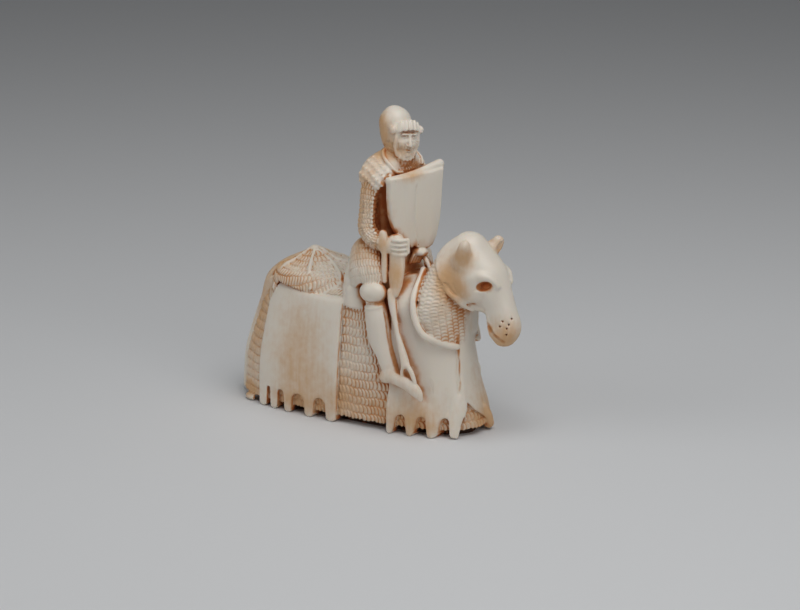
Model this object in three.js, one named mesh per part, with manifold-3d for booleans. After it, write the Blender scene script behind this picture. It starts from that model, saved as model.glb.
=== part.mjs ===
// Chess knight carved from one block of ivory: an armoured rider on a horse whose cloth and
// mail hang to the ground. Millimetres, +X to the horse's nose, +Y to the rider's left, +Z up.
import * as THREE from 'three';
import { mergeVertices } from 'three/addons/utils/BufferGeometryUtils.js';
import Module from 'manifold-3d';

const wasm = await Module();
wasm.setup();

// Overall sizes of the piece. The carving is laid out on a block of drawnLength by drawnWidth by
// drawnHeight, and follows these three when they change.
const pieceLength = 68;
const pieceWidth = 24;
const pieceHeight = 67;
const drawnLength = 68;
const drawnWidth = 24;
const drawnHeight = 67;

// Sizes that stand by themselves.
const clothThickness = 0.9;
const bandRadius = 0.75;
const mailHemGap = 1.3;
const footInset = 1.6;
const notchHeight = 4.7;
const notchWidth = 2.5;
const notchShoulder = 1.2;
const dagCorner = 0.9;
const dagBelly = 0.2;
const shieldThickness = 2.2;

const alongScale = pieceLength / drawnLength;
const acrossScale = pieceWidth / drawnWidth;
const upScale = pieceHeight / drawnHeight;
const radiusScale = Math.cbrt(alongScale * acrossScale * upScale);
const { degToRad } = THREE.MathUtils;

const ivory = new THREE.MeshStandardMaterial({ color: 0xd9cfc0, roughness: 0.45, metalness: 0 });

function at([x, y, z]) {
  return new THREE.Vector3(x * alongScale, y * acrossScale, z * upScale);
}

function mirrored(points) {
  return points.map(([x, y, ...rest]) => [x, -y, ...rest]);
}

// Closed three.js geometry as a solid that can be joined and cut.
function solid(geometry) {
  const bare = geometry.index ? geometry.toNonIndexed() : geometry.clone();
  bare.deleteAttribute('normal');
  bare.deleteAttribute('uv');
  const merged = mergeVertices(bare, 1e-4);
  return new wasm.Manifold(new wasm.Mesh({
    numProp: 3,
    vertProperties: new Float32Array(merged.attributes.position.array),
    triVerts: new Uint32Array(merged.index.array),
  }));
}

function join(solids) {
  return solids.reduce((whole, piece) => whole.add(piece));
}

// A closed skin through rings of points, with a fan of triangles on each end.
function loft(rings) {
  const sides = rings[0].length;
  const points = rings.flat();
  const faces = [];
  for (let ring = 0; ring < rings.length - 1; ring += 1) {
    for (let side = 0; side < sides; side += 1) {
      const a = ring * sides + side;
      const b = ring * sides + (side + 1) % sides;
      faces.push(a, b, b + sides, a, b + sides, a + sides);
    }
  }
  [0, rings.length - 1].forEach((ring) => {
    const middle = rings[ring].reduce((sum, point) => sum.add(point), new THREE.Vector3());
    const hub = points.push(middle.divideScalar(sides)) - 1;
    for (let side = 0; side < sides; side += 1) {
      const a = ring * sides + side;
      const b = ring * sides + (side + 1) % sides;
      faces.push(...(ring === 0 ? [hub, b, a] : [hub, a, b]));
    }
  });
  const geometry = new THREE.BufferGeometry().setFromPoints(points);
  geometry.setIndex(faces);
  return solid(geometry);
}

// A closed ring between an ellipse (power 2) and a rounded box (power 4). Its rear half can be
// squarer than its front half.
function ring(sides, power, placePoint, rearPower = power) {
  return Array.from({ length: sides }, (_, side) => {
    const angle = (2 * Math.PI * side) / sides;
    const c = Math.cos(angle);
    const s = Math.sin(angle);
    const bend = c < 0 ? rearPower : power;
    const reach = (Math.abs(c) ** bend + Math.abs(s) ** bend) ** (-1 / bend);
    return placePoint(reach * c, reach * s);
  });
}

// Straight-line reading of [key, value, value ...] stations at a key.
function reading(stations, key) {
  const last = stations.length - 1;
  const above = Math.max(1, stations.findIndex(([place]) => place >= key));
  const upper = key > stations[last][0] ? last : above;
  const low = stations[upper - 1];
  const high = stations[upper];
  const share = THREE.MathUtils.clamp((key - low[0]) / (high[0] - low[0]), 0, 1);
  return low.map((value, i) => THREE.MathUtils.lerp(value, high[i], share)).slice(1);
}

// A limb with round ends along a smooth curve. Each station is its point, its radius across
// (towards the Y axis) and, where that differs, its radius through.
function limb(stations, { sides = 10, steps = 7, power = 2 } = {}) {
  const curve = new THREE.CatmullRomCurve3(stations.map(at), false, 'centripetal');
  const spread = stations.map(([, , , across, through = across], i) => [i, across, through]);
  const leans = sides < 8 ? [-60] : [-78, -45];
  const places = [
    ...leans.map((lean) => [0, lean]),
    ...Array.from({ length: steps + 1 }, (_, i) => [i / steps, 0]),
    ...leans.map((lean) => [1, -lean]).reverse(),
  ];
  return loft(places.map(([share, lean]) => {
    const along = curve.getTangent(share);
    const side = Math.abs(along.y) > 0.9 ? new THREE.Vector3(0, 0, 1) : new THREE.Vector3(0, 1, 0);
    side.addScaledVector(along, -side.dot(along)).normalize();
    const up = new THREE.Vector3().crossVectors(along, side);
    const [across, through] = reading(spread, share * (stations.length - 1));
    const reach = Math.min(across, through) * Math.sin(degToRad(lean)) * radiusScale;
    const centre = curve.getPoint(share).addScaledVector(along, reach);
    const shrink = Math.cos(degToRad(lean)) * radiusScale;
    return ring(sides, power, (u, v) => centre.clone()
      .addScaledVector(side, u * across * shrink)
      .addScaledVector(up, v * through * shrink));
  }));
}

function ball(centre, radii, { turn = 0, tilt = 0, sides = 10, rows = 7 } = {}) {
  const geometry = new THREE.SphereGeometry(1, sides, rows);
  geometry.scale(...radii.map((radius) => radius * radiusScale));
  geometry.rotateY(degToRad(tilt));
  geometry.rotateZ(degToRad(turn));
  geometry.translate(...at(centre).toArray());
  return solid(geometry);
}

// The outline [x, z] pushed across the piece from nearY to farY.
function prism(outline, nearY, farY) {
  const shape = new THREE.Shape(outline.map(([x, z]) => new THREE.Vector2(x * alongScale, z * upScale)));
  const geometry = new THREE.ExtrudeGeometry(shape, {
    depth: (farY - nearY) * acrossScale, bevelEnabled: false,
  });
  geometry.rotateX(Math.PI / 2);
  geometry.translate(0, farY * acrossScale, 0);
  return solid(geometry);
}

// The mail-covered body of the horse: height, rear end, front end, half width and squareness of
// the rear of each section.
const bodyStations = [
  [0, -34, 25, 11.1, 3.6],
  [5, -33.9, 23.6, 11.1, 3.3],
  [10, -33.6, 22.1, 11.1, 3],
  [18, -31.4, 20.6, 10.6, 2.5],
  [24, -28.9, 19.2, 10, 2.3],
  [27, -26.6, 18, 9.2, 2.2],
  [29.4, -19, 15, 6.6, 2.2],
];
const bodySides = 32;
const bodyPower = 2.2;

function bodyLoft(heights, grow) {
  return loft(heights.map((height) => {
    const [rear, front, half, square] = reading(bodyStations, height);
    const middle = (rear + front) / 2;
    return ring(bodySides, bodyPower, (u, v) => at([middle, 0, height])
      .add(new THREE.Vector3(
        u * ((front - rear) / 2 * alongScale + grow),
        v * (half * acrossScale + grow),
        0,
      )), square);
  }));
}

function horseBody() {
  const hem = mailHemGap / upScale;
  const heights = bodyStations.map(([height]) => height).filter((height) => height > hem);
  const foot = bodyLoft([0, hem + 0.4], -footInset);
  return join([foot, bodyLoft([hem, ...heights], 0)]);
}

// Cloth with a dagged hem. Each dag is [left end, right end]; arched notches part them.
function clothOutline(top, dags) {
  const arch = notchHeight / upScale;
  const shoulder = (notchHeight - notchShoulder) / upScale;
  const outline = [...top];
  dags.slice().reverse().forEach(([left, right], i, all) => {
    outline.push(
      [right, dagCorner],
      [(left + 3 * right) / 4, dagBelly],
      [(left + right) / 2, 0],
      [(3 * left + right) / 4, dagBelly],
      [left, dagCorner],
    );
    if (i < all.length - 1) {
      const next = all[i + 1][1];
      outline.push([left, shoulder], [(left + next) / 2, arch], [next, shoulder]);
    }
  });
  return outline;
}

// Dags from start to end, with widths in the given proportions and a notch between each two.
function dagRow(start, end, widths) {
  const gap = notchWidth / alongScale;
  const spare = end - start - gap * (widths.length - 1);
  const total = widths.reduce((sum, width) => sum + width, 0);
  let left = start;
  return widths.map((width) => {
    const right = left + (spare * width) / total;
    const dag = [left, right];
    left = right + gap;
    return dag;
  });
}

function bodyCloth() {
  const heights = [0, ...bodyStations.slice(1).map(([height]) => height)];
  const skin = bodyLoft(heights, clothThickness);
  const hindDags = dagRow(-25.8, -3.8, [2.2, 2.6, 2.9, 3.4, 3.9]);
  const hind = clothOutline([[-22.2, 27.4], [-14, 26.6], [-4.2, 27]], hindDags);
  const foreDags = dagRow(7.6, 24.1, [2.6, 2.6, 2.6, 3.4]);
  const fore = clothOutline([[7.2, 33], [20.4, 31], [22.6, 18]], foreDags);
  const tailDags = dagRow(-37, -31.2, [4]);
  const tail = clothOutline([[-36, 31], [-25.8, 31], [-28, 24]], tailDags);
  const reach = 20;
  return [
    ...[hind, fore].flatMap((outline) => [
      skin.intersect(prism(outline, -reach, -1)),
      skin.intersect(prism(outline, 1, reach)),
    ]),
    skin.intersect(prism(tail, -reach, reach)),
  ];
}

// Raised bands over the croup, running down from the knob on its top.
const croupKnob = [-18.2, 0, 33.3];
// Height, middle, half length and half width of the mail over the croup.
const croupStations = [
  [25, -15.6, 11.4, 9.9],
  [27.4, -15.8, 10.4, 9.2],
  [29.6, -16.5, 8, 7.4],
  [31.4, -17.5, 4.4, 4.8],
  [32.8, -18, 2.3, 2.4],
  [33.4, -18.2, 1.1, 1.1],
];

function croup() {
  const bands = [
    [[-17.4, -1.2, 32.9], [-15.6, -4.8, 30.9], [-13.4, -8.8, 26.9]],
    [[-19.1, -1.1, 32.8], [-21.8, -4.6, 30.2], [-23.8, -7.4, 26.9]],
    [[-16, -0.9, 32.2], [-11.4, -4.2, 29.8], [-6.4, -8.6, 26.9]],
  ];
  const sized = bands.map((points) => points.map((point) => [...point, bandRadius / radiusScale]));
  const mound = loft(croupStations.map(([height, middle, along, across]) => ring(16, 2.2, (u, v) => (
    at([middle + u * along, v * across, height])))));
  return [
    mound,
    ball(croupKnob, [1.4, 1.4, 1]),
    ...sized.flatMap((points) => [points, mirrored(points)])
      .map((points) => limb(points, { sides: 5, steps: 3 })),
  ];
}

// Neck in mail, with a plain rolled edge where it spreads over the shoulders.
function neck() {
  const mailNeck = limb([
    [16.4, 0, 21.5, 7.6, 4.4], [15.8, 0, 27, 8.8, 4.6], [16.4, 0, 31.6, 6.8, 4.4],
    [18.6, 0, 36, 4.6, 4], [21.4, 0, 39, 3.6, 3.2],
  ], { sides: 14, steps: 8 });
  const edge = [
    [12, -3.4, 33.4], [12.8, -6.8, 31], [13.4, -8.6, 28], [14.4, -9.2, 25.2],
    [16.4, -8.2, 21.6], [18.8, -5.8, 19.4], [20.6, -2.6, 18], [20.8, 0, 17.8],
  ].map((point) => [...point, 0.8]);
  const edges = [edge, mirrored(edge)].map((points) => limb(points, { sides: 5, steps: 9 }));
  return [mailNeck, ...edges];
}

// Head in plate. Each station: distance down the face, centre and half depth fore and aft of the
// head's own line, and half width.
const headTop = [22, 0, 39];
const headLean = 33.7;
const headStations = [
  [-2.6, -0.4, 1.4, 1.6],
  [-1.8, -0.7, 3, 3],
  [0, -1.2, 4.4, 4.3],
  [3.2, -1, 5, 4.9],
  [6.4, -0.4, 4.9, 4.6],
  [9.4, 0.1, 4.2, 4],
  [12.4, 0.5, 3.4, 3.2],
  [15.4, 0, 3.3, 2.9],
  [18, -0.9, 3.5, 3],
  [19.8, -1.5, 2.6, 2.6],
  [20.9, -1.7, 1.1, 1.3],
];

function horseHead() {
  const lean = degToRad(headLean);
  const down = new THREE.Vector3(Math.sin(lean), 0, -Math.cos(lean));
  const fore = new THREE.Vector3(Math.cos(lean), 0, Math.sin(lean));
  const rings = headStations.map(([drop, offset, deep, wide]) => ring(14, 2.3, (u, v) => {
    const [x, y, z] = headTop;
    const along = new THREE.Vector3(x, y, z).addScaledVector(down, drop);
    along.addScaledVector(fore, offset + u * deep);
    return at([along.x, v * wide, along.z]);
  }));
  const nearEar = [[22.2, -4, 37.6, 1.9, 1.5], [22.7, -4.7, 40, 1.7, 1.4], [23.2, -4.8, 41.2, 1.2, 1]];
  const farEar = [[24, 4, 37.4, 1.7, 1.4], [24.8, 4.6, 39.6, 1.5, 1.3], [25.2, 4.7, 40.6, 1.1, 1]];
  const brow = [[24.6, -4.3, 35.6, 0.9], [27, -4, 35.4, 1], [28.6, -3.2, 33.6, 0.8]];
  const lip = [[28.4, -1.2, 21.6, 1.9], [30.8, 0, 21.4, 1.9], [32.2, 0, 22.4, 1.7]];
  return [
    loft(rings.reverse()),
    limb(nearEar, { sides: 8, steps: 3 }), limb(farEar, { sides: 8, steps: 3 }),
    limb(brow, { sides: 6, steps: 3 }), limb(mirrored(brow), { sides: 6, steps: 3 }),
    limb(lip, { sides: 8, steps: 4 }),
  ];
}

// Withers and pommel, the swell of cloth between the rider's lap and the horse's neck.
function withers() {
  return [ball([9.6, 0, 26.6], [6.6, 9.3, 6.4])];
}

// Rider, all but the limbs: seat, skirt of mail, chest, hood and helmet.
const headTurn = -25;
const helmetTop = 66.9;

function riderTrunk() {
  const trunk = limb([
    [1.6, 0, 30, 9.4, 6], [2, 0, 36, 7.8, 5.2], [2.4, 0, 42, 5.8, 4], [2.6, 0, 48, 6.2, 4.2],
    [2.5, 0, 52, 6, 3.9], [2.8, 0, 54.6, 4.4, 3.2],
  ], { sides: 12, steps: 7 });
  const hood = limb([
    [2.6, 0, 52.6, 5.6, 4], [3.2, 0, 55.2, 4.4, 3.7], [3.8, -0.2, 57.4, 3.7, 3.6],
    [4.2, -0.3, 60, 3.9, 3.9],
  ], { sides: 12, steps: 5 });
  const helmet = [
    [60.2, 4], [61.8, 4.45], [63.2, 4.3], [64.8, 3.5], [66.2, 2.1], [helmetTop, 0.8],
  ].map(([height, radius]) => ring(14, 2, (u, v) => {
    const slide = (helmetTop - height) * 0.25;
    return at([2.9 + slide + u * radius, v * radius - slide * 0.2, height]);
  }));
  const face = ball([5.3, -1.1, 60], [2.9, 2.9, 3.5], { turn: headTurn });
  const rim = [
    [3.4, -4.4, 61.6], [5.6, -4.6, 62.8], [7.6, -3, 63.3], [8.6, -0.4, 63.3], [8, 2.4, 62.8],
    [6.4, 4.2, 61.6],
  ].map((point) => [...point, 0.75]);
  return [trunk, hood, loft(helmet), face, limb(rim, { sides: 6, steps: 8 })];
}

// Shield: a board as wide as the shoulders, its top edge rolled forward, its foot broken off.
const shieldTurn = -20;
const shieldOutline = [
  [-7.4, 16.2], [-7.2, 9], [-6.2, 4.4], [-4.6, 1.8], [-2.6, 0.4], [-1, 1.1], [1, 0],
  [2.9, -0.2], [4.2, 1], [5.3, 4.2], [5.9, 8.6], [5.9, 13], [6.1, 17.2],
];

function shield() {
  const shape = new THREE.Shape(shieldOutline.map(([across, up]) => new THREE.Vector2(across, up * upScale)));
  const bevel = 0.5;
  const geometry = new THREE.ExtrudeGeometry(shape, {
    depth: shieldThickness - 2 * bevel, bevelThickness: bevel, bevelSize: bevel, bevelOffset: -bevel,
    bevelSegments: 1,
  });
  geometry.rotateX(Math.PI / 2);
  geometry.rotateZ(Math.PI / 2);
  geometry.rotateY(degToRad(2));
  geometry.rotateZ(degToRad(shieldTurn));
  geometry.translate(...at([8.2, -0.6, 37.2]).toArray());
  const roll = [[6.4, -7.6, 53], [9, -0.6, 54], [10.6, 4.9, 54.8]].map((point) => [...point, 1]);
  const grip = [[3, -1, 46, 3.4, 2.2], [7.4, -0.4, 45.6, 3, 2.6]];
  return [solid(geometry), limb(roll, { sides: 8 }), limb(grip, { sides: 8, steps: 3 })];
}

function arms() {
  const right = [
    [2.2, -5, 53.2, 2.5, 2.7], [1.7, -6.8, 50.8, 2.6, 2.6], [1.6, -7.6, 46, 2.5, 2.5],
    [1.5, -8, 42, 2.5, 2.5], [3.4, -7.8, 40, 2.3, 2.3], [5.4, -7.2, 39.6, 1.9, 1.9],
  ];
  const left = [
    [2.4, 5, 53.2, 2.5, 2.7], [2.4, 6.8, 50.4, 2.6, 2.6], [2.8, 7.4, 45, 2.5, 2.5],
    [4, 6.6, 41, 2.4, 2.4], [6.4, 3.4, 38, 2, 2], [7.8, 0.8, 36.6, 1.7, 1.7],
  ];
  const fist = ball([7.2, -6.6, 39.4], [2.4, 1.9, 2.2], { turn: -15 });
  const openHand = ball([8.2, 0, 35.6], [2, 2, 2.1]);
  const blade = [
    [7.9, -6.6, 37.6, 1.3, 2.1], [8.2, -7.2, 34.4, 1.2, 2], [8.7, -8, 31.2, 1.2, 1.7],
    [9, -8.6, 29.6, 1, 1.2],
  ];
  const bar = [[4.3, -7.6, 38, 0.9], [4.6, -8.4, 34, 0.9], [4.9, -8.8, 30.6, 0.9]];
  return [
    limb(right, { steps: 7 }), limb(left, { steps: 7 }),
    fist, openHand,
    limb(blade, { sides: 8, steps: 4 }), limb(bar, { sides: 6, steps: 3 }),
  ];
}

// One leg with its knee plate, pointed foot and stirrup strap; the other is its mirror.
function leg(side) {
  const turned = (points) => points.map(([x, y, z, ...radii]) => [x, y * side, z, ...radii]);
  const thigh = [
    [0, -5.4, 35.4, 4.6, 4.6], [2.2, -8, 33, 3.6, 4.2], [4, -9.4, 30.4, 2.6, 3.4],
  ];
  const shin = [
    [5, -9.6, 28, 2.2, 2.9], [6, -9.8, 24.4, 2, 2.8], [7.2, -10, 20, 1.9, 2.4],
    [8.6, -10.1, 15.6, 1.7, 1.9], [9.4, -10.1, 13.4, 1.8, 2.1],
  ];
  const foot = [
    [9.2, -10.2, 12.2, 1.8, 1.9], [11.6, -10, 11.2, 1.7, 1.4], [14.4, -9.6, 9.4, 1.5, 1.3],
    [16.4, -9, 7.8, 0.9, 0.8],
  ];
  const strap = [
    [7.4, -8.6, 29, 0.8], [9, -9.2, 24.4, 0.8], [10.8, -9.7, 19, 0.8], [12.6, -9.8, 14.6, 0.9],
    [14.4, -9.4, 12.6, 1],
  ];
  return [
    limb(turned(thigh), { steps: 3 }),
    ball([4.6, -9.9 * side, 29.4], [2.9, 2, 2.6]),
    limb(turned(shin), { steps: 5 }),
    limb(turned(foot), { sides: 8, steps: 4 }),
    limb(turned(strap), { sides: 6, steps: 4 }),
  ];
}

// Saddle: the back board behind the rider and the flap under the thigh.
function saddle() {
  const outline = [
    [-5.4, 27], [-6.2, 31], [-5.6, 34.6], [-4.2, 38], [-2, 38], [-1, 30], [2, 26.2], [-1.4, 26.4],
  ];
  const board = prism(outline, -9, 9);
  const round = limb([
    [-1.4, 0, 24, 10.9, 6], [-2, 0, 30, 10, 5], [-3, 0, 36, 6.6, 3], [-3.4, 0, 37.4, 5, 2],
  ], { sides: 16, steps: 6 });
  return [board.intersect(round)];
}

const carving = join([
  horseBody(), ...bodyCloth(), ...croup(), ...withers(), ...neck(), ...horseHead(), ...saddle(),
  ...riderTrunk(), ...shield(), ...arms(), ...leg(1), ...leg(-1),
]);

const carved = carving.getMesh();
const geometry = new THREE.BufferGeometry();
geometry.setAttribute('position', new THREE.BufferAttribute(carved.vertProperties, 3));
geometry.setIndex(new THREE.BufferAttribute(carved.triVerts, 1));
geometry.computeVertexNormals();
geometry.computeBoundingBox();

// The origin is the middle of the box on the ground.
const middle = geometry.boundingBox.getCenter(new THREE.Vector3());
const knight = new THREE.Mesh(geometry, ivory);
knight.name = 'knight';
knight.position.set(-middle.x, -middle.y, -geometry.boundingBox.min.z);

const piece = new THREE.Group();
piece.add(knight);

export default piece;
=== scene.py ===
import math
import time

import bpy
import numpy as np
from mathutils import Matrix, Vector


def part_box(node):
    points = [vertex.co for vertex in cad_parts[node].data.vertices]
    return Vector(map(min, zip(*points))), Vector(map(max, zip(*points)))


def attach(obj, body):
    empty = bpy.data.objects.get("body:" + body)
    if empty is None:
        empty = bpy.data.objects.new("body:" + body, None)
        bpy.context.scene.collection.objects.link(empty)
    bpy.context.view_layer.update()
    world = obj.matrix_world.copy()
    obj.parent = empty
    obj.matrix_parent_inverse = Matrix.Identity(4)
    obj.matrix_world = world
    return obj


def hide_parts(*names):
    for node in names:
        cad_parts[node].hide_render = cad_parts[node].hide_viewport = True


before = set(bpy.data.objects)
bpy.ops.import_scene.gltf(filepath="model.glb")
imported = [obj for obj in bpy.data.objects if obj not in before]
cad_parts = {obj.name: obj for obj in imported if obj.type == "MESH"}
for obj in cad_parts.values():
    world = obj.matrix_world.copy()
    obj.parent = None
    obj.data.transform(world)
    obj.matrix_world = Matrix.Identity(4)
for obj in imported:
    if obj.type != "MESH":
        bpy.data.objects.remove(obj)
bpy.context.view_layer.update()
started = time.time()

# The knight is sculpted in the drawing's millimetres: +X to the horse's nose, -Y the side that
# the camera sees, +Z up. Each stroke of the sculpt is a distance field that is joined to the clay
# or cut out of it, and the clay is meshed once all strokes are in.

sculpt = {
    "cell": 0.2,             # size of the meshing grid
    "block": 4,              # cells to a side of a search block
    "low": (-36.4, -13.2, -0.6), "high": (36.0, 13.2, 67.8),   # corners of the box that is searched
    "batch": 60000,          # points measured at a time
    "apart": 9.0,            # distance that stands for being out of a shape's reach
    "drawnMiddle": -0.375,   # x of the middle of the CAD box in the drawing
    "triangles": 192000,
}


def say(stage):
    print(f"{stage}: {time.time() - started:.1f} s")


# Distance fields: below 0 inside a shape, in millimetres from its surface

clay = []


# Two shapes joined, or what they share, with a fillet about as wide as the blend.
def softJoin(a, b, blend):
    near = np.maximum(blend - np.abs(a - b), 0)
    return np.minimum(a, b) - near * near / (4 * blend)


def softMeet(a, b, blend):
    near = np.maximum(blend - np.abs(a - b), 0)
    return np.maximum(a, b) + near * near / (4 * blend)


# 0 up to low, 1 from high on, and an even rise between them.
def smooth(value, low, high):
    share = np.clip((value - low) / (high - low), 0, 1)
    return share * share * (3 - 2 * share)


# Adds a stroke to the clay: kind is join, cut or press, low and high are the corners of its box, and
# with both it is made on the horse's right side and mirrored to its left. Press adds the shape's own
# value, so it sinks the surface by that much.
def work(kind, shape, low, high, blend=0.4, both=False):
    reach = blend + 1.6
    clay.append({
        "kind": kind, "shape": shape, "blend": blend, "both": both,
        "low": np.array(low, np.float32) - reach, "high": np.array(high, np.float32) + reach,
    })


# Distance from each point to the surface of the clay, below 0 inside.
def clayAt(points):
    values = np.full(len(points), sculpt["apart"], np.float32)
    for start in range(0, len(points), sculpt["batch"]):
        part = points[start:start + sculpt["batch"]]
        x, y, z = (np.ascontiguousarray(part[:, axis]) for axis in range(3))
        nearY = -np.abs(y)
        low, high = part.min(0), part.max(0)
        lowNear, highNear = nearY.min(), nearY.max()
        value = values[start:start + sculpt["batch"]]
        for stroke in clay:
            a, b = stroke["low"], stroke["high"]
            lowY, highY = (lowNear, highNear) if stroke["both"] else (low[1], high[1])
            apart = low[0] > b[0] or high[0] < a[0] or lowY > b[1] or highY < a[1]
            if apart or low[2] > b[2] or high[2] < a[2]:
                continue
            side = nearY if stroke["both"] else y
            inside = (x > a[0]) & (x < b[0]) & (side > a[1]) & (side < b[1]) & (z > a[2]) & (z < b[2])
            pick = np.flatnonzero(inside)
            if not len(pick):
                continue
            found = stroke["shape"](x[pick], side[pick], z[pick])
            old = value[pick]
            if stroke["kind"] == "join":
                value[pick] = softJoin(old, found, stroke["blend"])
            elif stroke["kind"] == "cut":
                value[pick] = softMeet(old, -found, stroke["blend"])
            else:
                value[pick] = old + found
    return values


# A smooth path through the stations, with everything after x, y, z carried along.
def smoothPath(stations, perSpan=4):
    rows = np.array(stations, float)
    rows = np.vstack([2 * rows[0] - rows[1], rows, 2 * rows[-1] - rows[-2]])
    made = []
    for i in range(1, len(rows) - 2):
        a, b, c, d = rows[i - 1:i + 3]
        for t in np.linspace(0, 1, perSpan, endpoint=False):
            made.append(0.5 * (2 * b + (c - a) * t + (2 * a - 5 * b + 4 * c - d) * t ** 2
                               + (3 * b - a - 3 * c + d) * t ** 3))
    made.append(rows[-2])
    return np.array(made, np.float32)


# Rows of x, y, z and one radius, or two: across and up.
def limbPath(stations, perSpan):
    return smoothPath([(*row, row[3]) if len(row) == 4 else row for row in stations], perSpan)


# Side and up of a limb that runs in a given direction.
def crossAxes(direction):
    side = np.array([0, 0, 1.0]) if abs(direction[1]) > 0.9 else np.array([0, 1.0, 0])
    side = side - direction * side.dot(direction)
    side /= np.linalg.norm(side)
    return side, np.cross(direction, side)


def limbField(stations, perSpan=4):
    path = limbPath(stations, perSpan)
    radii = np.maximum(path[:, 3:5], 0.1)
    along = np.diff(path[:, :3], axis=0)
    lengths = np.maximum(np.linalg.norm(along, axis=1), 1e-6)
    along = along / lengths[:, None]
    frames = [crossAxes(direction) for direction in along]
    isRound = bool(np.abs(radii[:, 0] - radii[:, 1]).max() < 1e-4)

    def field(x, y, z):
        best = np.full(len(x), np.inf, np.float32)
        for i, direction in enumerate(along):
            dx, dy, dz = x - path[i, 0], y - path[i, 1], z - path[i, 2]
            reach = dx * direction[0] + dy * direction[1] + dz * direction[2]
            t = np.clip(reach, 0, lengths[i])
            share = t / lengths[i]
            a = radii[i, 0] + (radii[i + 1, 0] - radii[i, 0]) * share
            if isRound:
                flat = dx * dx + dy * dy + dz * dz - reach * reach
                spare = reach - t
                best = np.minimum(best, np.sqrt(np.maximum(flat, 0) + spare * spare) - a)
                continue
            b = radii[i, 1] + (radii[i + 1, 1] - radii[i, 1]) * share
            side, up = frames[i]
            c = np.minimum(a, b)
            p = (dx * side[0] + dy * side[1] + dz * side[2]) / a
            q = (dx * up[0] + dy * up[1] + dz * up[2]) / b
            r = (reach - t) / c
            whole = np.sqrt(p * p + q * q + r * r)
            slope = np.sqrt((p / a) ** 2 + (q / b) ** 2 + (r / c) ** 2)
            best = np.minimum(best, whole * (whole - 1) / np.maximum(slope, 1e-5))
        return best

    top = radii.max(1)[:, None]
    return field, (path[:, :3] - top).min(0), (path[:, :3] + top).max(0)


# A limb through its stations, oval where they give two radii.
def limb(stations, kind="join", blend=0.4, both=False, perSpan=4):
    field, low, high = limbField(stations, perSpan)
    work(kind, field, low, high, blend, both)
    return field


# Turn about the upright, then nod, then bank, in degrees.
def turnMatrix(turn=0, tilt=0, roll=0):
    a, b, c = (math.radians(angle) for angle in (turn, tilt, roll))
    about = np.array([[math.cos(a), -math.sin(a), 0], [math.sin(a), math.cos(a), 0], [0, 0, 1]])
    nod = np.array([[math.cos(b), 0, math.sin(b)], [0, 1, 0], [-math.sin(b), 0, math.cos(b)]])
    bank = np.array([[1, 0, 0], [0, math.cos(c), -math.sin(c)], [0, math.sin(c), math.cos(c)]])
    return about @ nod @ bank


def toLocal(x, y, z, centre, matrix):
    dx, dy, dz = x - centre[0], y - centre[1], z - centre[2]
    return tuple(dx * matrix[0, i] + dy * matrix[1, i] + dz * matrix[2, i] for i in range(3))


def ballField(centre, radii, turn=0, tilt=0, roll=0):
    matrix = turnMatrix(turn, tilt, roll)
    a, b, c = radii

    def field(x, y, z):
        u, v, w = toLocal(x, y, z, centre, matrix)
        whole = np.sqrt((u / a) ** 2 + (v / b) ** 2 + (w / c) ** 2)
        slope = np.sqrt((u / a ** 2) ** 2 + (v / b ** 2) ** 2 + (w / c ** 2) ** 2)
        return whole * (whole - 1) / np.maximum(slope, 1e-5)

    return field


def ball(centre, radii, turn=0, tilt=0, roll=0, kind="join", blend=0.4, both=False):
    reach = max(radii)
    centre = np.array(centre, float)
    work(kind, ballField(centre, radii, turn, tilt, roll), centre - reach, centre + reach, blend, both)


# Distance to the surface of the clay, or to a given depth below it, and how it changes along x, y and z.
def distanceAndSlope(points, nudge, sunk=0.0):
    here = clayAt(points) + sunk
    steps = np.eye(3, dtype=np.float32)
    return here, np.stack([clayAt(points + step * nudge) + sunk - here for step in steps], 1) / nudge


# Moves points straight on to the surface as it stands so far, or a given depth below it.
def ontoSkin(points, sunk=0.0, most=1.2):
    points = np.array(points, np.float32)
    first = points.copy()
    for _ in range(4):
        here, slope = distanceAndSlope(points, 0.05, sunk)
        points = points - (here / np.maximum((slope ** 2).sum(1), 0.1))[:, None] * slope
    away = points - first
    length = np.maximum(np.linalg.norm(away, axis=1), 1e-6)
    return first + away * np.minimum(1, most / length)[:, None]


# A string of balls along a path, as near to the pitch as whole balls allow. Each is sunk by a share
# of its radius.
def beads(points, radius, pitch, blend=0.12, sunk=0.25):
    path = smoothPath([(*point, 0) for point in points], 12)[:, :3]
    reach = np.concatenate([[0], np.cumsum(np.linalg.norm(np.diff(path, axis=0), axis=1))])
    stops = np.linspace(0, reach[-1], int(round(reach[-1] / pitch)) + 1)
    centres = np.stack([np.interp(stops, reach, path[:, axis]) for axis in range(3)], 1)
    for centre in ontoSkin(centres, radius * sunk):
        ball([float(value) for value in centre], (radius, radius, radius), blend=blend)


# A groove (depth above 0) or a ridge (below 0) pressed into whatever is already there.
def score(points, width, depth, both=False, perSpan=4):
    path = ontoSkin(smoothPath([(*point, 0) for point in points], perSpan)[:, :3], most=0.6)
    starts, steps = path[:-1], np.diff(path, axis=0)
    squares = np.maximum((steps ** 2).sum(1), 1e-9)

    def field(x, y, z):
        best = np.full(len(x), np.inf, np.float32)
        for start, step, square in zip(starts, steps, squares):
            dx, dy, dz = x - start[0], y - start[1], z - start[2]
            t = np.clip((dx * step[0] + dy * step[1] + dz * step[2]) / square, 0, 1)
            best = np.minimum(best, (dx - t * step[0]) ** 2 + (dy - t * step[1]) ** 2
                              + (dz - t * step[2]) ** 2)
        return depth * np.maximum(1 - best / width ** 2, 0) ** 2

    work("press", field, path.min(0) - width, path.max(0) + width, 0.1, both)


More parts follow.
